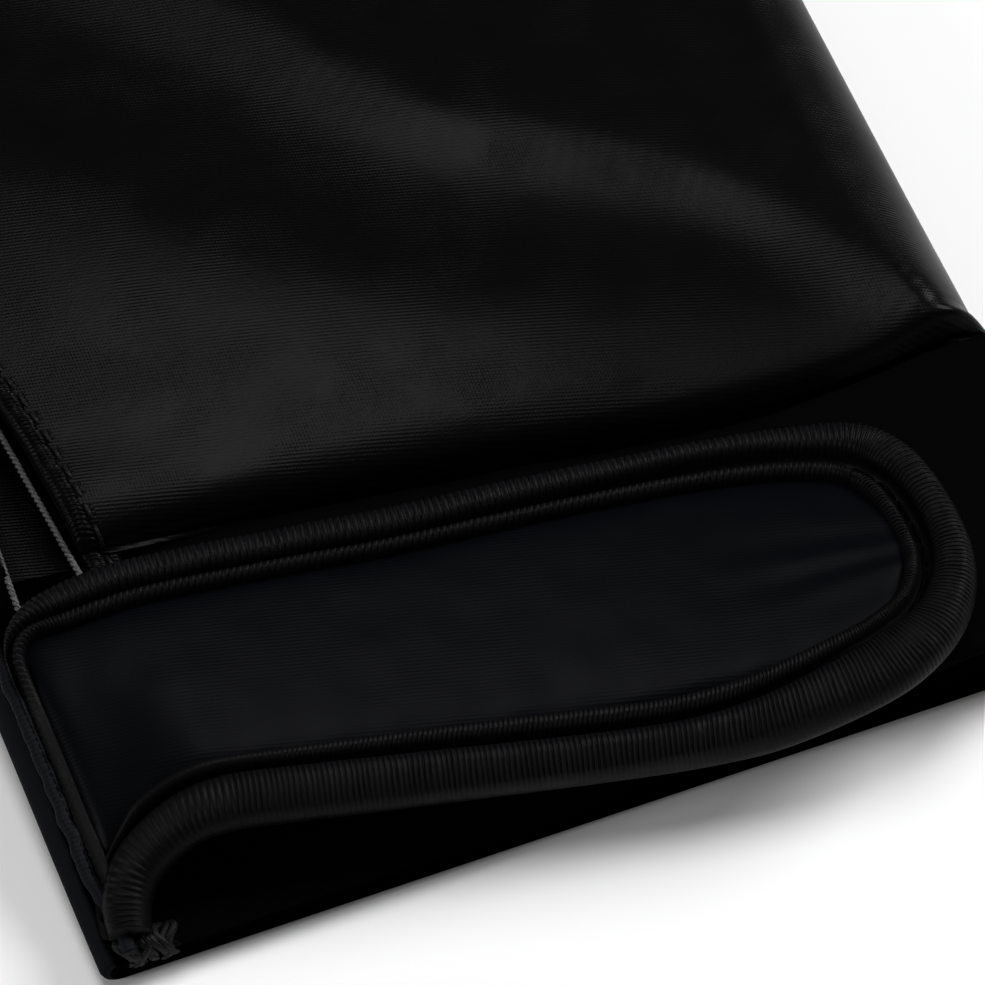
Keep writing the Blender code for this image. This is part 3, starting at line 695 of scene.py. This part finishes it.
def back_height(x, y, folded=True):
    """Top of the body's back before its sides round down."""
    stretch = 1 + RIGHT_STRETCH * ease(x, RIGHT_FADE)
    rise = rise_at((y - seam_y(x)) / stretch)
    height = WRIST_HEIGHT + (HAND_HEIGHT - WRIST_HEIGHT) * rise
    crown = CROWN * rise * np.minimum(1.0, np.abs(x) / HALF_WIDTH) ** 2
    relief = fold_height(x, y) if folded else 0.0
    return height * (1 - crown) + relief


def edge_height(x, y):
    """Top of the body's back where its sides round down."""
    side = round_share(HALF_WIDTH - np.abs(x), SIDE_ROUND)
    return back_height(x, y) * (WIDEST_HEIGHT + (1 - WIDEST_HEIGHT) * side)


def section(half_width, height_at, widest, side, inset, steps):
    """A flat-bottomed section with round sides: across and up, over the top and back below."""
    half = half_width - inset
    turns = np.arange(steps[0] + 1) / steps[0]
    across = half * (0.55 * np.cos(math.pi * turns) + 0.45 * (1 - 2 * turns))
    up = widest + (height_at(across) - inset - widest) * round_share(half - np.abs(across), side - inset)
    below = half * np.cos(math.pi * np.arange(steps[1] + 1) / steps[1])[-2:0:-1]
    under = widest - (widest - inset) * round_share(half - np.abs(below), widest)
    return np.concatenate((across, below)), np.concatenate((up, under))


def palm_ring(along, inset, lift, steps):
    """One palm section; the first ones follow the sweep of the wrist seam."""
    left, right = (rows_at(PALM_ROWS, column, along) for column in (1, 2))
    rise = rise_at(along * PALM_LENGTH)
    middle = (right - left) * HALF_WIDTH / 2
    half = (right + left) * HALF_WIDTH / 2
    fade = 1 - smooth(along / SWEEP_FADE)
    widest = WIDEST_HEIGHT * (WRIST_HEIGHT + (HAND_HEIGHT - WRIST_HEIGHT) * rise * WIDEST_RISE)
    flat_y = along * PALM_LENGTH + lift

    def height_at(across):
        x = middle + across
        return back_height(x, flat_y + seam_y(x) * fade)

    side = SIDE_ROUND * (ROUND_LEAST + (1 - ROUND_LEAST) * rise)
    across, up = section(half, height_at, widest, side, inset, steps)
    x = middle + across
    return np.stack((x, flat_y + seam_y(x) * fade, up), -1)


def palm_body(name, inset, stations, steps):
    """The palm as a solid. A positive inset gives its hollow, which runs out through the wrist."""
    rings = [palm_ring(along, inset, GAP / 2, steps) for along in stations]
    if inset > 0:
        rings.insert(0, rings[0] - np.array((0, BAND_LENGTH / 2, 0)))
    return loft(name, rings, fan=True)


def digits():
    """The index and middle fingers, and the thumb, each as rows, size, start and lean."""
    fingers = []
    index = (INDEX_LENGTH, INDEX_AXIS, INDEX_LEAN)
    for length, axis, lean in (index, (MIDDLE_LENGTH, MIDDLE_AXIS, MIDDLE_LEAN)):
        start = np.array((axis * HALF_WIDTH + math.sin(lean) * FINGER_ROOT,
                          PALM_LENGTH - math.cos(lean) * FINGER_ROOT, 0.0))
        fingers.append((FINGER_ROWS, (length + FINGER_ROOT, FINGER_WIDTH, FINGER_HEIGHT), start, lean))
    root = np.array((-THUMB_ROOT_X, THUMB_ROOT_Y, 0.0))
    return fingers, (THUMB_ROWS, (THUMB_LENGTH, THUMB_WIDTH, THUMB_HEIGHT), root, THUMB_LEAN)


def finger_directions(lean):
    """Directions along and across a finger."""
    return np.array(((-math.sin(lean), math.cos(lean), 0.0), (math.cos(lean), math.sin(lean), 0.0)))


def finger_body(name, finger, inset=0.0):
    """A closed finger sheath as a solid, or its hollow where inset is the wall."""
    rows, (length, width, height), start, lean = finger
    ahead, across = finger_directions(lean)
    up = np.array((0.0, 0.0, 1.0))
    tip_radius = width * rows[-1, 1] / 2
    straight = (length - tip_radius) / length
    body, tip, over, under = HOLLOW_DETAIL if inset > 0 else OUTER_DETAIL
    rings = []
    for i in range(body + tip):
        turn = TIP_TURN * max(0, i - body + 1) / tip
        share = straight * min(i, body - 1) / (body - 1)
        along = share + (1 - straight) * math.sin(turn)
        reach = share * length + (tip_radius - inset) * math.sin(turn)
        shrink = math.cos(turn)
        half = rows_at(rows, 1, along) * width / 2 * shrink + inset * (1 - shrink)
        tall = rows_at(rows, 2, along) * height * (TIP_HEIGHT + (1 - TIP_HEIGHT) * math.sqrt(shrink))

        def height_at(a):
            if inset > 0:
                return np.full_like(a, tall)
            x = start[0] + ahead[0] * reach + across[0] * a
            y = start[1] + ahead[1] * reach + across[1] * a
            ripple = wave_noise(x, y * 0.8, 16 * MM, 5) * FINGER_RIPPLE
            return tall + ripple * smooth(reach / (15 * MM)) * shrink

        side = min(half, tall * FINGER_ROUND)
        a, z = section(half, height_at, FINGER_WIDEST * tall, side, inset, (over, under))
        rings.append(start + ahead * reach + a[:, None] * across + z[:, None] * up)
    return loft(name, rings, fan=True)


def window_cutter():
    """Opens the palm's far edge for the ring and little fingers."""
    left = MIDDLE_AXIS * HALF_WIDTH + FINGER_WIDTH / 2 + CLOTH
    right = PALM_ROWS[-1, 2] * HALF_WIDTH - CLOTH
    middle = (right + left) / 2
    half = (right - left) / 2 + CLOTH
    a, z = section(half, lambda a: back_height(middle + a, np.full_like(a, PALM_LENGTH), False),
                   WIDEST_HEIGHT * WRIST_HEIGHT, SIDE_ROUND * 0.7, CLOTH, (40, 16))
    ends = (PALM_LENGTH * 0.90, PALM_LENGTH * 1.1)
    return loft("window_cutter", [np.stack((middle + a, np.full_like(a, y), z), -1) for y in ends], fan=True)


def hem_line(y):
    """How far across the middle of the vent's hem is."""
    return np.interp(y, HEM_LINE[:, 0] * MM, HEM_LINE[:, 1] * MM)


def vent_cutter():
    """Cuts the vent through the back, from the wrist edge to its tip."""
    ys = np.linspace(-BAND_LENGTH / 2, VENT_LENGTH, 30)
    right = hem_line(ys) + HEM_WIDTH * 0.3
    outline = [(VENT_LEFT_X, ys[0]), *zip(right, ys), (VENT_LEFT_X, ys[-1])]
    rings = [[(x, y, z) for x, y in outline] for z in (WRIST_HEIGHT * 0.5, HAND_HEIGHT * 2)]
    return loft("vent_cutter", rings)


def hand_shell(cloth):
    """The body: palm, back, index and middle sheaths, vent and the open edge."""
    fine = np.linspace(0, 27 * MM, 96)
    middle = np.linspace(27 * MM, 46 * MM, 46)[1:]
    coarse = np.linspace(46 * MM, PALM_LENGTH, 30)[1:]
    stations = np.concatenate((fine, middle, coarse)) / PALM_LENGTH
    body = palm_body("glove_shell", 0.0, stations, (210, 40))
    fingers, thumb = digits()
    for finger in fingers:
        combine(body, finger_body("outer", finger), "UNION")
    stations = np.linspace(0, 1 - CLOTH / PALM_LENGTH, 40)
    combine(body, palm_body("hollow", CLOTH, stations, (60, 16)))
    for finger in fingers:
        combine(body, finger_body("hollow", finger, CLOTH))
    combine(body, window_cutter())
    combine(body, finger_body("hollow", thumb, CLOTH))
    combine(body, vent_cutter())
    body.data.shade_smooth()
    dress(body, cloth, "stretch_cloth", "hand_shell", "finger_sheaths")


def thumb_sheath(cloth):
    """The thumb, cut off where it meets the body."""
    shape = digits()[1]
    thumb = finger_body("thumb_cover", shape)
    stations = np.linspace(0, 1, 60)
    combine(thumb, palm_body("clearance", -GAP * 0.3, stations, (100, 24)))
    combine(thumb, finger_body("hollow", shape, CLOTH))
    thumb.data.shade_smooth()
    dress(thumb, cloth, "stretch_cloth", "thumb_sheath")


# Strap


def strap_place(along, across):
    """A place on the strap, seen from above, from its own length and width."""
    x = ROOT_X + along * math.cos(STRAP_TURN) + across * math.sin(STRAP_TURN)
    y = -STRAP_ROOT_Y - along * math.sin(STRAP_TURN) + across * math.cos(STRAP_TURN)
    return x, y


def root_height(y):
    """Height of the welt, which falls from the seam to the hem."""
    share = (y + BAND_LENGTH) / BAND_LENGTH
    return ROOT_LOW + (ROOT_HIGH - ROOT_LOW) * smooth(share)


def welt_x(y):
    """The welt's place across, which leans outward from the hem to the seam."""
    share = np.clip((y + BAND_LENGTH) / BAND_LENGTH, 0.0, 1.0)
    return ROOT_X + WELT_SHIFT * ease(-y, WELT_FADE) - LEFT_LEAN * 1.1 * share


def strap_height(x, y):
    """Middle of the strap's thickness. It climbs from the welt, its low edge droops and its tip twists."""
    low = root_height(y)
    climb = smooth((x - ROOT_X) / STRAP_RISE)
    across = (x - ROOT_X) * math.sin(STRAP_TURN) + (y + STRAP_ROOT_Y) * math.cos(STRAP_TURN)
    droop = STRAP_DROOP * smooth((STRAP_DROOP_WIDTH - across - STRAP_WIDTH / 2) / STRAP_DROOP_WIDTH)
    droop = droop * (1 - 0.7 * ease(x, DROOP_FADE))
    twist = STRAP_TWIST * across * ease(x, TWIST_FADE)
    return low + (STRAP_LEVEL - droop - low) * climb - twist


def edge_curve(count):
    """The strap's outline: its places, inward directions, the binding's width and the distance along."""
    curve = curve_through(STRAP_EDGE * (STRAP_LENGTH, STRAP_WIDTH / 2, STRAP_WIDTH), count)
    ahead = headings(curve[:, :2])
    inward = np.stack((ahead[:, 1], -ahead[:, 0]), 1)
    return curve[:, :2], inward, curve[:, 2], distances(curve[:, :2])


def binding_rings():
    """Sections of the binding along the outline, with its ribs, and the ribs' phase and strength."""
    total = edge_curve(2000)[3][-1]
    share = np.linspace(0, 1, 4000)
    pitch = RIB_PITCH_TOP + (RIB_PITCH_LOW - RIB_PITCH_TOP) * ease(share, PITCH_FADE)
    ribs = np.concatenate(([0.0], np.cumsum(np.diff(share) * total / pitch[1:])))
    count = int(ribs[-1] * RIB_SAMPLES)
    phase = (np.arange(count) / RIB_SAMPLES)[:, None]
    places = np.interp(phase, ribs, share) * total
    edge, inward, wide, reach = edge_curve(3000)
    lines = (*edge.T, *inward.T, wide)
    along, across, turn_x, turn_y, width = (np.interp(places, reach, line) for line in lines)
    share = places / total
    groove = rows_at(GROOVE_ROWS, 1, share) * MM
    band = np.maximum(width - ROLL_WIDTH - groove, TAPE_LEAST)

    # Where the roll begins and ends, and where the ribs show: less on the low side's wall
    begun = ease(share, (ROLL_START - 0.02, 0.04))
    shown = 1 - ease(share, (ROLL_END - 0.02, 0.02))
    ribs_on = begun * (1 - ease(share, (RIBS_END - 0.10, 0.12)))
    roll_width = ROLL_WIDTH * (0.15 + 0.85 * shown)
    wall_fade = 1 - ease(share, LOW_FADE) * (1 - ease(TAPE_PLACE, EDGE_FADE)) * 0.8

    # The ribs, each a little stronger or weaker than the next
    rng = np.random.default_rng(11)
    strength = 0.75 + 0.5 * rng.random((count - 1) // RIB_SAMPLES + 3)
    uneven = np.interp(phase, np.arange(len(strength)), strength)
    band_phase = phase + wave_noise(places, TAPE_PLACE * 3 * MM, 4 * MM, 3) * 0.12
    roll_phase = phase * 1.12 + ROLL_PLACE * 0.9
    rib, slant = (np.abs(np.sin(math.pi * turned)) ** 0.7 for turned in (band_phase, roll_phase))
    bulge = (rib - 0.6) * RIB_DEPTH * TAPE_RIBBED * uneven * wall_fade
    roll_bulge = (slant - 0.6) * RIB_DEPTH * 0.8 * ROLL_RIBBED * uneven * ribs_on
    puff = wave_noise(places, places * 0, 9 * MM, 8) * 0.12 * MM

    # The section's points, from the outer edge over the band, the groove and the roll, and back below
    top = np.where(TAPE_HEIGHT > 0, TAPE_TOP, -TAPE_BOTTOM) * TAPE_HEIGHT
    low_start = 0.25 + 0.75 * begun
    band_q = band * TAPE_PLACE - bulge * np.clip(1 - TAPE_PLACE * 6, 0, 1)
    band_z = top * low_start + (bulge + puff) * np.clip(TAPE_HEIGHT, 0, 1)
    groove_q = band + groove * np.array((0.15, 0.5, 0.85))
    groove_z = np.full_like(groove_q, -0.25 * MM)
    roll_q = band + groove + roll_width * ROLL_PLACE
    roll_z = (ROLL_TOP * ROLL_HEIGHT + roll_bulge) * shown * low_start
    under_q = np.concatenate((band + groove + roll_width * 0.8, width * 0.5, band * 0.35), 1)
    under_z = np.broadcast_to(np.array((0.1 * MM, -0.9 * MM, TAPE_BOTTOM)), under_q.shape)
    q = np.concatenate((band_q, groove_q, roll_q, under_q), 1)
    z = np.concatenate((band_z, groove_z, roll_z, under_z), 1)
    x, y = strap_place(along + turn_x * q, across + turn_y * q)
    none = np.zeros_like(groove_q)
    rib_phase = np.concatenate((band_phase, none + phase, roll_phase, none + phase), 1)
    band_shown = TAPE_RIBBED * wall_fade * (0.15 + 0.85 * ribs_on)
    ribbed = np.concatenate((band_shown, none, ROLL_RIBBED * ribs_on, none), 1)
    return on_surface(x, y, z), rib_phase, ribbed


def on_surface(x, y, lift):
    """Points at a height above the strap's surface, square to it."""
    step = 0.4 * MM
    base = strap_height(x, y)
    slope_x = (strap_height(x + step, y) - strap_height(x - step, y)) / (2 * step)
    slope_y = (strap_height(x, y + step) - strap_height(x, y - step)) / (2 * step)
    size = np.sqrt(1 + slope_x ** 2 + slope_y ** 2)
    return np.stack((x - slope_x * lift / size, y - slope_y * lift / size, base + lift / size), -1)


def strap_binding(tape):
    """The ribbed tape round the strap's edge, with its groove and inner roll."""
    rings, rib_phase, ribbed = binding_rings()
    item = loft("strap_tape", rings)
    paint(item, "rib", rib_phase)
    paint(item, "ribbed", ribbed)
    dress(item, tape, "binding_tape", "strap_binding")


def strap_panel(cloth):
    """The smooth middle of the strap, slightly puffed, with wrinkles that fan in from the tip."""
    edge, inward, wide, _ = edge_curve(900)
    inner = edge + inward * (wide - ROLL_WIDTH * 0.55)[:, None]
    inner_x, inner_y = strap_place(inner[:, 0], inner[:, 1])
    inner = inner[inner_x > welt_x(inner_y) + WELT_RADIUS * 0.6 + ROOT_STRIP]
    apex = int(np.argmax(inner[:, 0]))
    rows, columns = 220, 70
    a = 1 - (1 - np.linspace(0, 0.992, rows)) ** 1.35
    sides = (inner[:apex + 1], inner[apex:][::-1])
    top, bottom = (places_on(line, np.linspace(0, 1, len(line)), a) for line in sides)
    b = (0.5 - 0.5 * np.cos(math.pi * np.linspace(0, 1, columns)))[None, :, None]
    flat = bottom[:, None] * (1 - b) + top[:, None] * b
    x, y = strap_place(flat[..., 0], flat[..., 1])
    side = np.minimum(b[..., 0], 1 - b[..., 0]) * np.linalg.norm(top - bottom, axis=1)[:, None]
    from_root = np.maximum(0.0, x - x[:1, :])
    puff = sum(height * (1 - np.exp(-side / length)) for height, length in PANEL_PUFF)
    puff = puff * (1 - 0.8 * np.exp(-from_root / (0.7 * MM)))
    to_tip = (STRAP_LENGTH - flat[..., 0]) / MM
    angle = np.arctan2(flat[..., 1], STRAP_LENGTH * 1.12 - flat[..., 0])
    fan = np.sin(angle * 30 + 1.7 * np.sin(angle * 9)) * np.exp(-((to_tip - 12) / 8) ** 2)
    ripple = wave_noise(x, y, 7 * MM, 21) * PANEL_RIPPLE
    lift = puff + (fan * WRINKLE + ripple) * smooth(side / (2 * MM))
    face = on_surface(x, y, lift)
    back = on_surface(x, y, np.full_like(x, -PANEL_THICKNESS / 2))
    count = rows * columns
    faces = grid_faces(rows, columns, False)
    rim = np.concatenate((np.arange(columns), np.arange(2, rows + 1) * columns - 1,
                          np.arange(count - 2, count - columns - 1, -1),
                          np.arange(rows - 2, 0, -1) * columns))
    nxt = np.roll(rim, -1)
    walls = np.stack((rim, nxt, nxt + count, rim + count), -1)
    points = np.vstack((face.reshape(-1, 3), back.reshape(-1, 3)))
    item = outward(new_mesh("strap_face", points, np.vstack((faces, faces + count, walls))))
    dress(item, cloth, "strap_cloth", "strap_panel")


# Wristband, welt and hem


def band_arc(centre, radius, side, turns):
    """Part of a round end of the band, left (-1) or right (1), with its inward directions."""
    out = side * np.cos(turns)
    up = np.sin(turns)
    return np.stack((centre + radius * out, radius * (1 + up), -out, -up), 1)


def band_section(y, steps):
    """Outer line of the band and inward directions, from the welt round below to the vent."""
    share = (y + BAND_LENGTH) / BAND_LENGTH
    radius = (root_height(y) - WELT_RADIUS - GAP * 1.2) / (1 + math.sin(math.radians(60)))
    left_x = radius - HALF_WIDTH - LEFT_LEAN * share
    top = WRIST_HEIGHT - HEM_DROP * (1 - share) ** 2
    right = top / 2
    right_x = HALF_WIDTH + BAND_FLARE - right
    end_x = BAND_END_X + VENT_FLARE * abs(y / BAND_LENGTH) ** 3
    first = band_arc(left_x, radius, -1, np.radians(60 - 150 * np.arange(steps[0]) / steps[0]))
    share = np.arange(steps[1]) / steps[1]
    floor = np.stack((left_x + (right_x - left_x) * share, share * 0, share * 0, share * 0 + 1), 1)
    bend = band_arc(right_x, right, 1, np.radians(-90 + 180 * np.arange(steps[2]) / steps[2]))
    share = np.arange(steps[3] + 1) / steps[3]
    over_x = right_x + (end_x - right_x) * share
    drop = VENT_DROP * smooth((share - 0.8) / 0.2) - (WRIST_HEIGHT - top) * smooth(share / 0.5)
    soft = wave_noise(over_x, over_x * 0 + y * 0.5, 14 * MM, 31) * BAND_RIPPLE * smooth(share / 0.1)
    over = np.stack((over_x, top - drop + soft, share * 0, share * 0 - 1), 1)
    return np.vstack((first, floor, bend, over))


def wristband(cloth):
    """A band round the wrist, open at the vent, with a flat underside and a rounded hem."""
    rings = []
    paler_painted_light = []
    shares = np.concatenate((np.linspace(0, 0.06, 7), np.linspace(0.06, 1.0, 50)[1:]))
    for share in shares:
        y = -BAND_LENGTH * (1 - share)
        path = band_section(y, (20, 60, 26, 120))
        edge = BAND_CLOTH * 0.5 * (1 - round_share(share * BAND_LENGTH, BAND_CLOTH * 0.5))
        outer = path[:, :2] + path[:, 2:] * edge
        inner = path[:, :2] + path[:, 2:] * (BAND_CLOTH - edge * 0.99)
        line = np.vstack((outer, inner[::-1]))
        back = y + (seam_y(line[:, 0]) - GAP / 2) * share ** 2
        rings.append(np.stack((line[:, 0], back, line[:, 1]), -1))
        # Painted light: the outer face of the left fold, which faces the left, is made lighter, partly as a
        # lighter cloth and partly as the light that falls on it
        turned = 1 - smooth((path[:, 0] - ROOT_X - 1 * MM) / (5 * MM))
        tone = np.full(len(line), BAND_TONE)
        tone[:60] += TURNED_PALE_AND_LIT_TONE * turned[:60]
        paler_painted_light.append(tone)
    item = loft("wrist_band", rings, fan=True)
    paint(item, "paler_painted_light", np.concatenate((*paler_painted_light, (BAND_TONE, BAND_TONE))))
    dress(item, cloth, "band_cloth", "wristband")


def root_welt(cloth):
    """The raised welt at the strap's root, a flattened tube with small gathers."""
    y = np.linspace(STRAP_WIDTH / 2 - STRAP_ROOT_Y - 1 * MM, -BAND_LENGTH, 240)
    x = welt_x(y) + WELT_WAVER * wave_noise(y, y * 0, 3 * MM, 14)
    line = np.stack((x, y, root_height(y)), -1)
    turns = np.arange(16) / 16 * TURN
    gather = WELT_RADIUS * (1 + 0.03 * np.sin(np.arange(240) / 240 * TURN * 22)[:, None])
    side = np.cos(turns) * gather
    rings = line[:, None] + np.stack((side, side * 0, np.sin(turns) * WELT_FLAT * gather), -1)
    dress(loft("root_welt", rings), cloth, "thread", "root_seam")


def vent_hem(cloth):
    """The folded hem at the vent's right edge, with its gathered courses and the stitch groove."""
    ys = np.arange(2.2 * MM, VENT_LENGTH - 0.5 * MM, GATHER_PITCH / 6)[:, None]
    x = hem_line(ys) - HEM_WIDTH / 2 + HEM_PLACE * HEM_WIDTH
    y = np.broadcast_to(ys, x.shape)
    shift = wave_noise(ys, HEM_PLACE * 4 * MM, 3 * MM, 4) * 0.15
    rib = np.abs(np.sin(math.pi * (ys / GATHER_PITCH + HEM_PLACE * 0.9 + shift))) ** 0.8
    between = ((ys / STITCH_PITCH + 0.5) % 1 - 0.5) / 0.13
    hole = np.exp(-between ** 2) * np.exp(-((HEM_PLACE - 1.0) / 0.16) ** 2)
    up = edge_height(x, y) + HEM_HEIGHT * MM + (rib - 0.5) * GATHER_DEPTH * HEM_RIBBED - hole * 0.6 * MM
    dress(loft("vent_hem", np.stack((x, y, up), -1)), cloth, "stretch_cloth", "slit_hem")


def stitch_row(path_at, first, last, pitch, steps, margin):
    """Paths of a row of stitches, each from the distances along it that it covers and its own share."""
    share = np.linspace(margin, 1 - margin, steps)
    return [path_at((k + share) * pitch, share) for k in range(first, last)]


def vent_stitches(thread):
    """The stitches in the hem's groove."""
    def path_at(y, share):
        x = hem_line(y) + HEM_WIDTH / 2 + 0.14 * MM * (0.5 - share)
        lift = 0.52 * MM * np.sin(math.pi * share) ** 0.7 - 0.40 * MM
        return np.stack((x, y, edge_height(x, y) + lift), -1)

    first = math.ceil(3 * MM / STITCH_PITCH)
    last = math.floor((VENT_LENGTH - 1 * MM) / STITCH_PITCH)
    paths = stitch_row(path_at, first, last, STITCH_PITCH, 11, 0.10)
    dress(tubes("vent_stitches", paths, HEM_THREAD), thread, "thread")


def opening_stitches(thread):
    """Two rows of stitches in the hem of the opening for the ring and little fingers."""
    left = MIDDLE_AXIS * HALF_WIDTH + FINGER_WIDTH / 2 + 1 * MM
    right = PALM_ROWS[-1, 2] * HALF_WIDTH - 2 * MM
    paths = []
    for inset in (2.2 * MM, 3.6 * MM):
        def path_at(along, share):
            x = left + along
            y = np.full_like(x, PALM_LENGTH - inset)
            lift = 0.16 * MM * np.sin(math.pi * share) - 0.05 * MM
            return np.stack((x, y, edge_height(x, y) + lift), -1)

        paths += stitch_row(path_at, 0, int((right - left) / STITCH_PITCH), STITCH_PITCH, 7, 0.12)
    dress(tubes("opening_stitches", paths, FINE_THREAD), thread, "thread")


def groove_stitches(thread):
    """Long stitches in the groove between the binding's band and its roll."""
    edge, inward, wide, reach = edge_curve(1200)
    groove = rows_at(GROOVE_ROWS, 1, reach / reach[-1]) * MM
    flat = edge + inward * (wide - ROLL_WIDTH - groove * 0.5)[:, None]
    length = distances(flat)

    def path_at(along, share):
        x, y = strap_place(*places_on(flat, length, along).T)
        return on_surface(x, y, 0.28 * MM * np.sin(math.pi * share) ** 0.7 - 0.15 * MM)

    paths = stitch_row(path_at, 0, int(length[-1] / GROOVE_PITCH), GROOVE_PITCH, 9, 0.08)
    dress(tubes("groove_stitches", paths, GROOVE_THREAD), thread, "thread")


def finger_seam(finger, first):
    """A seam line round one finger at its widest, from a distance along it over the tip and back."""
    rows, (length, width, height), start, lean = finger
    ahead, across = finger_directions(lean)
    straight = (length - width * rows[-1, 1] / 2) / length
    turn = np.linspace(0, math.radians(88), 20)[1:]
    shrink = np.concatenate((np.ones(50), np.cos(turn)))
    along = np.linspace(first / length, straight, 50)
    along = np.concatenate((along, straight + (1 - straight) * np.sin(turn)))
    half = rows_at(rows, 1, along) * width / 2 * shrink + SEAM_PROUD
    tall = rows_at(rows, 2, along) * height * (TIP_HEIGHT + (1 - TIP_HEIGHT) * np.sqrt(shrink))
    left, right = (start + along[:, None] * length * ahead + way * half[:, None] * across for way in (-1, 1))
    left[:, 2] = right[:, 2] = SEAM_HEIGHT * tall
    return np.vstack((left, right[::-1]))


def finger_seams(thread):
    """The seams that close the index and middle fingers and the thumb."""
    fingers, thumb = digits()
    paths = [finger_seam(finger, 16 * MM) for finger in fingers] + [finger_seam(thumb, 30 * MM)]
    dress(tubes("finger_seams", paths, SEAM_THREAD), thread, "thread")


def twisted(line):
    """Two strands wound round a line."""
    turn = distances(line) / CORD_TWIST * TURN
    strands = []
    for start in (0.0, math.pi):
        shift = np.stack((np.cos(turn + start), turn * 0, np.sin(turn + start)), -1)
        strands.append(line + shift * CORD_RADIUS * 0.62)
    return strands


def vent_cords(thread):
    """Pale overlock cords inside the vent, beside the hem and on the vent's left edge."""
    y = np.linspace(3 * MM, 26.5 * MM, 260)
    x = hem_line(y) - HEM_WIDTH * 0.5 - 0.85 * MM + 0.5 * MM * ease(y, CORD_FADE)
    paths = twisted(np.stack((x, y, np.full_like(y, CORD_LEVEL)), -1))
    y = np.linspace(-2 * MM, 20 * MM, 240)
    paths += twisted(np.stack((VENT_LEFT_X - 0.2 * MM + y * 0.03, y, LEFT_CORD_LEVEL + y * 0.02), -1))
    dress(tubes("vent_cords", paths, FINE_THREAD), thread, "thread")


def tack_knot(thread):
    """The knot of thread at the lower end of the welt."""
    low, high = (np.array(corner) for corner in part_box("bar_tack"))
    centre = (low + high) / 2 + (0, PALM_LENGTH / 2, 0) + KNOT_SHIFT
    size = (high - low) / 2 * 1.1
    paths = []
    rng = np.random.default_rng(9)
    turns = np.linspace(0, TURN * 0.98, 26)
    for k in range(11):
        wobble = rng.uniform(-0.12, 0.12, 3)
        x = centre[0] + size[0] * (-0.8 + 1.6 * k / 10) + 0.5 * MM * np.sin(turns * 2 + wobble[0] * 19)
        y = centre[1] + size[1] * (0.72 + wobble[1]) * np.cos(turns)
        z = centre[2] + size[2] * (0.72 + wobble[2]) * np.sin(turns)
        paths.append(np.stack((x, y, z), -1))
    dress(tubes("tack_knot", paths, KNOT_THREAD), thread, "thread", "bar_tack")


# Stage


def floor_and_lights():
    """A pale floor, an even sky and soft lamps above, at the right and low at the left."""
    corners = np.array(((-1, -1, 0), (1, -1, 0), (1, 1, 0), (-1, 1, 0))) * FLOOR_HALF
    floor = new_mesh("floor", corners + (0, PALM_LENGTH / 2, -0.05 * MM), [range(4)])
    paper = bpy.data.materials.new("paper")
    paper.use_nodes = True
    for name, value in (("Base Color", PAPER), ("Roughness", 0.9), ("Specular IOR Level", 0.1)):
        paper.node_tree.nodes["Principled BSDF"].inputs[name].default_value = value
    floor.data.materials.append(paper)
    world = bpy.data.worlds.new("studio")
    bpy.context.scene.world = world
    world.use_nodes = True
    world.node_tree.nodes["Background"].inputs["Color"].default_value = (1.0, 1.0, 1.0, 1)
    world.node_tree.nodes["Background"].inputs["Strength"].default_value = WORLD_LIGHT
    for name, place, size, power in LIGHTS:
        lamp = bpy.data.lights.new(name, "AREA")
        lamp.shape = "DISK"
        lamp.size = size
        lamp.energy = power
        item = new_object(name, lamp)
        item.location = place
        item.rotation_euler = (-Vector(place)).to_track_quat("-Z", "Y").to_euler()
    bpy.context.scene.view_settings.view_transform = "Standard"


def camera():
    """A camera at the photograph's angle."""
    data = bpy.data.cameras.new("camera")
    data.angle = VIEW_ANGLE
    data.sensor_fit = "HORIZONTAL"
    data.clip_start = 0.01
    item = new_object("camera", data)
    ahead = Vector((math.sin(VIEW_HEADING) * math.cos(VIEW_ELEVATION),
                    math.cos(VIEW_HEADING) * math.cos(VIEW_ELEVATION), -math.sin(VIEW_ELEVATION)))
    target = Vector((VIEW_TARGET[0], VIEW_TARGET[1] - PALM_LENGTH / 2, 0.0))
    item.location = target - ahead * VIEW_DISTANCE
    item.rotation_euler = ahead.to_track_quat("-Z", "Y").to_euler()
    bpy.context.scene.camera = item


def main():
    """Makes the stage, the materials and every piece."""
    camera()
    floor_and_lights()
    knit = {name: knit_material(name, *row) for name, row in KNITS.items()}
    thread = {name: thread_material(name, *row) for name, row in THREADS.items()}
    hand_shell(knit["stretch_knit"])
    thumb_sheath(knit["stretch_knit"])
    wristband(knit["band_knit"])
    strap_panel(knit["strap_knit"])
    strap_binding(tape_material("elastic_tape", *TAPE))
    groove_stitches(thread["seam_thread"])
    root_welt(knit["welt_cloth"])
    tack_knot(thread["black_thread"])
    vent_hem(knit["stretch_knit"])
    vent_stitches(thread["black_thread"])
    vent_cords(thread["overlock_thread"])
    finger_seams(thread["black_thread"])
    opening_stitches(thread["black_thread"])
    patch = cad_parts["touch_fastener"]
    patch.data.materials.clear()
    patch.data.materials.append(thread["hook_pile"])


main()
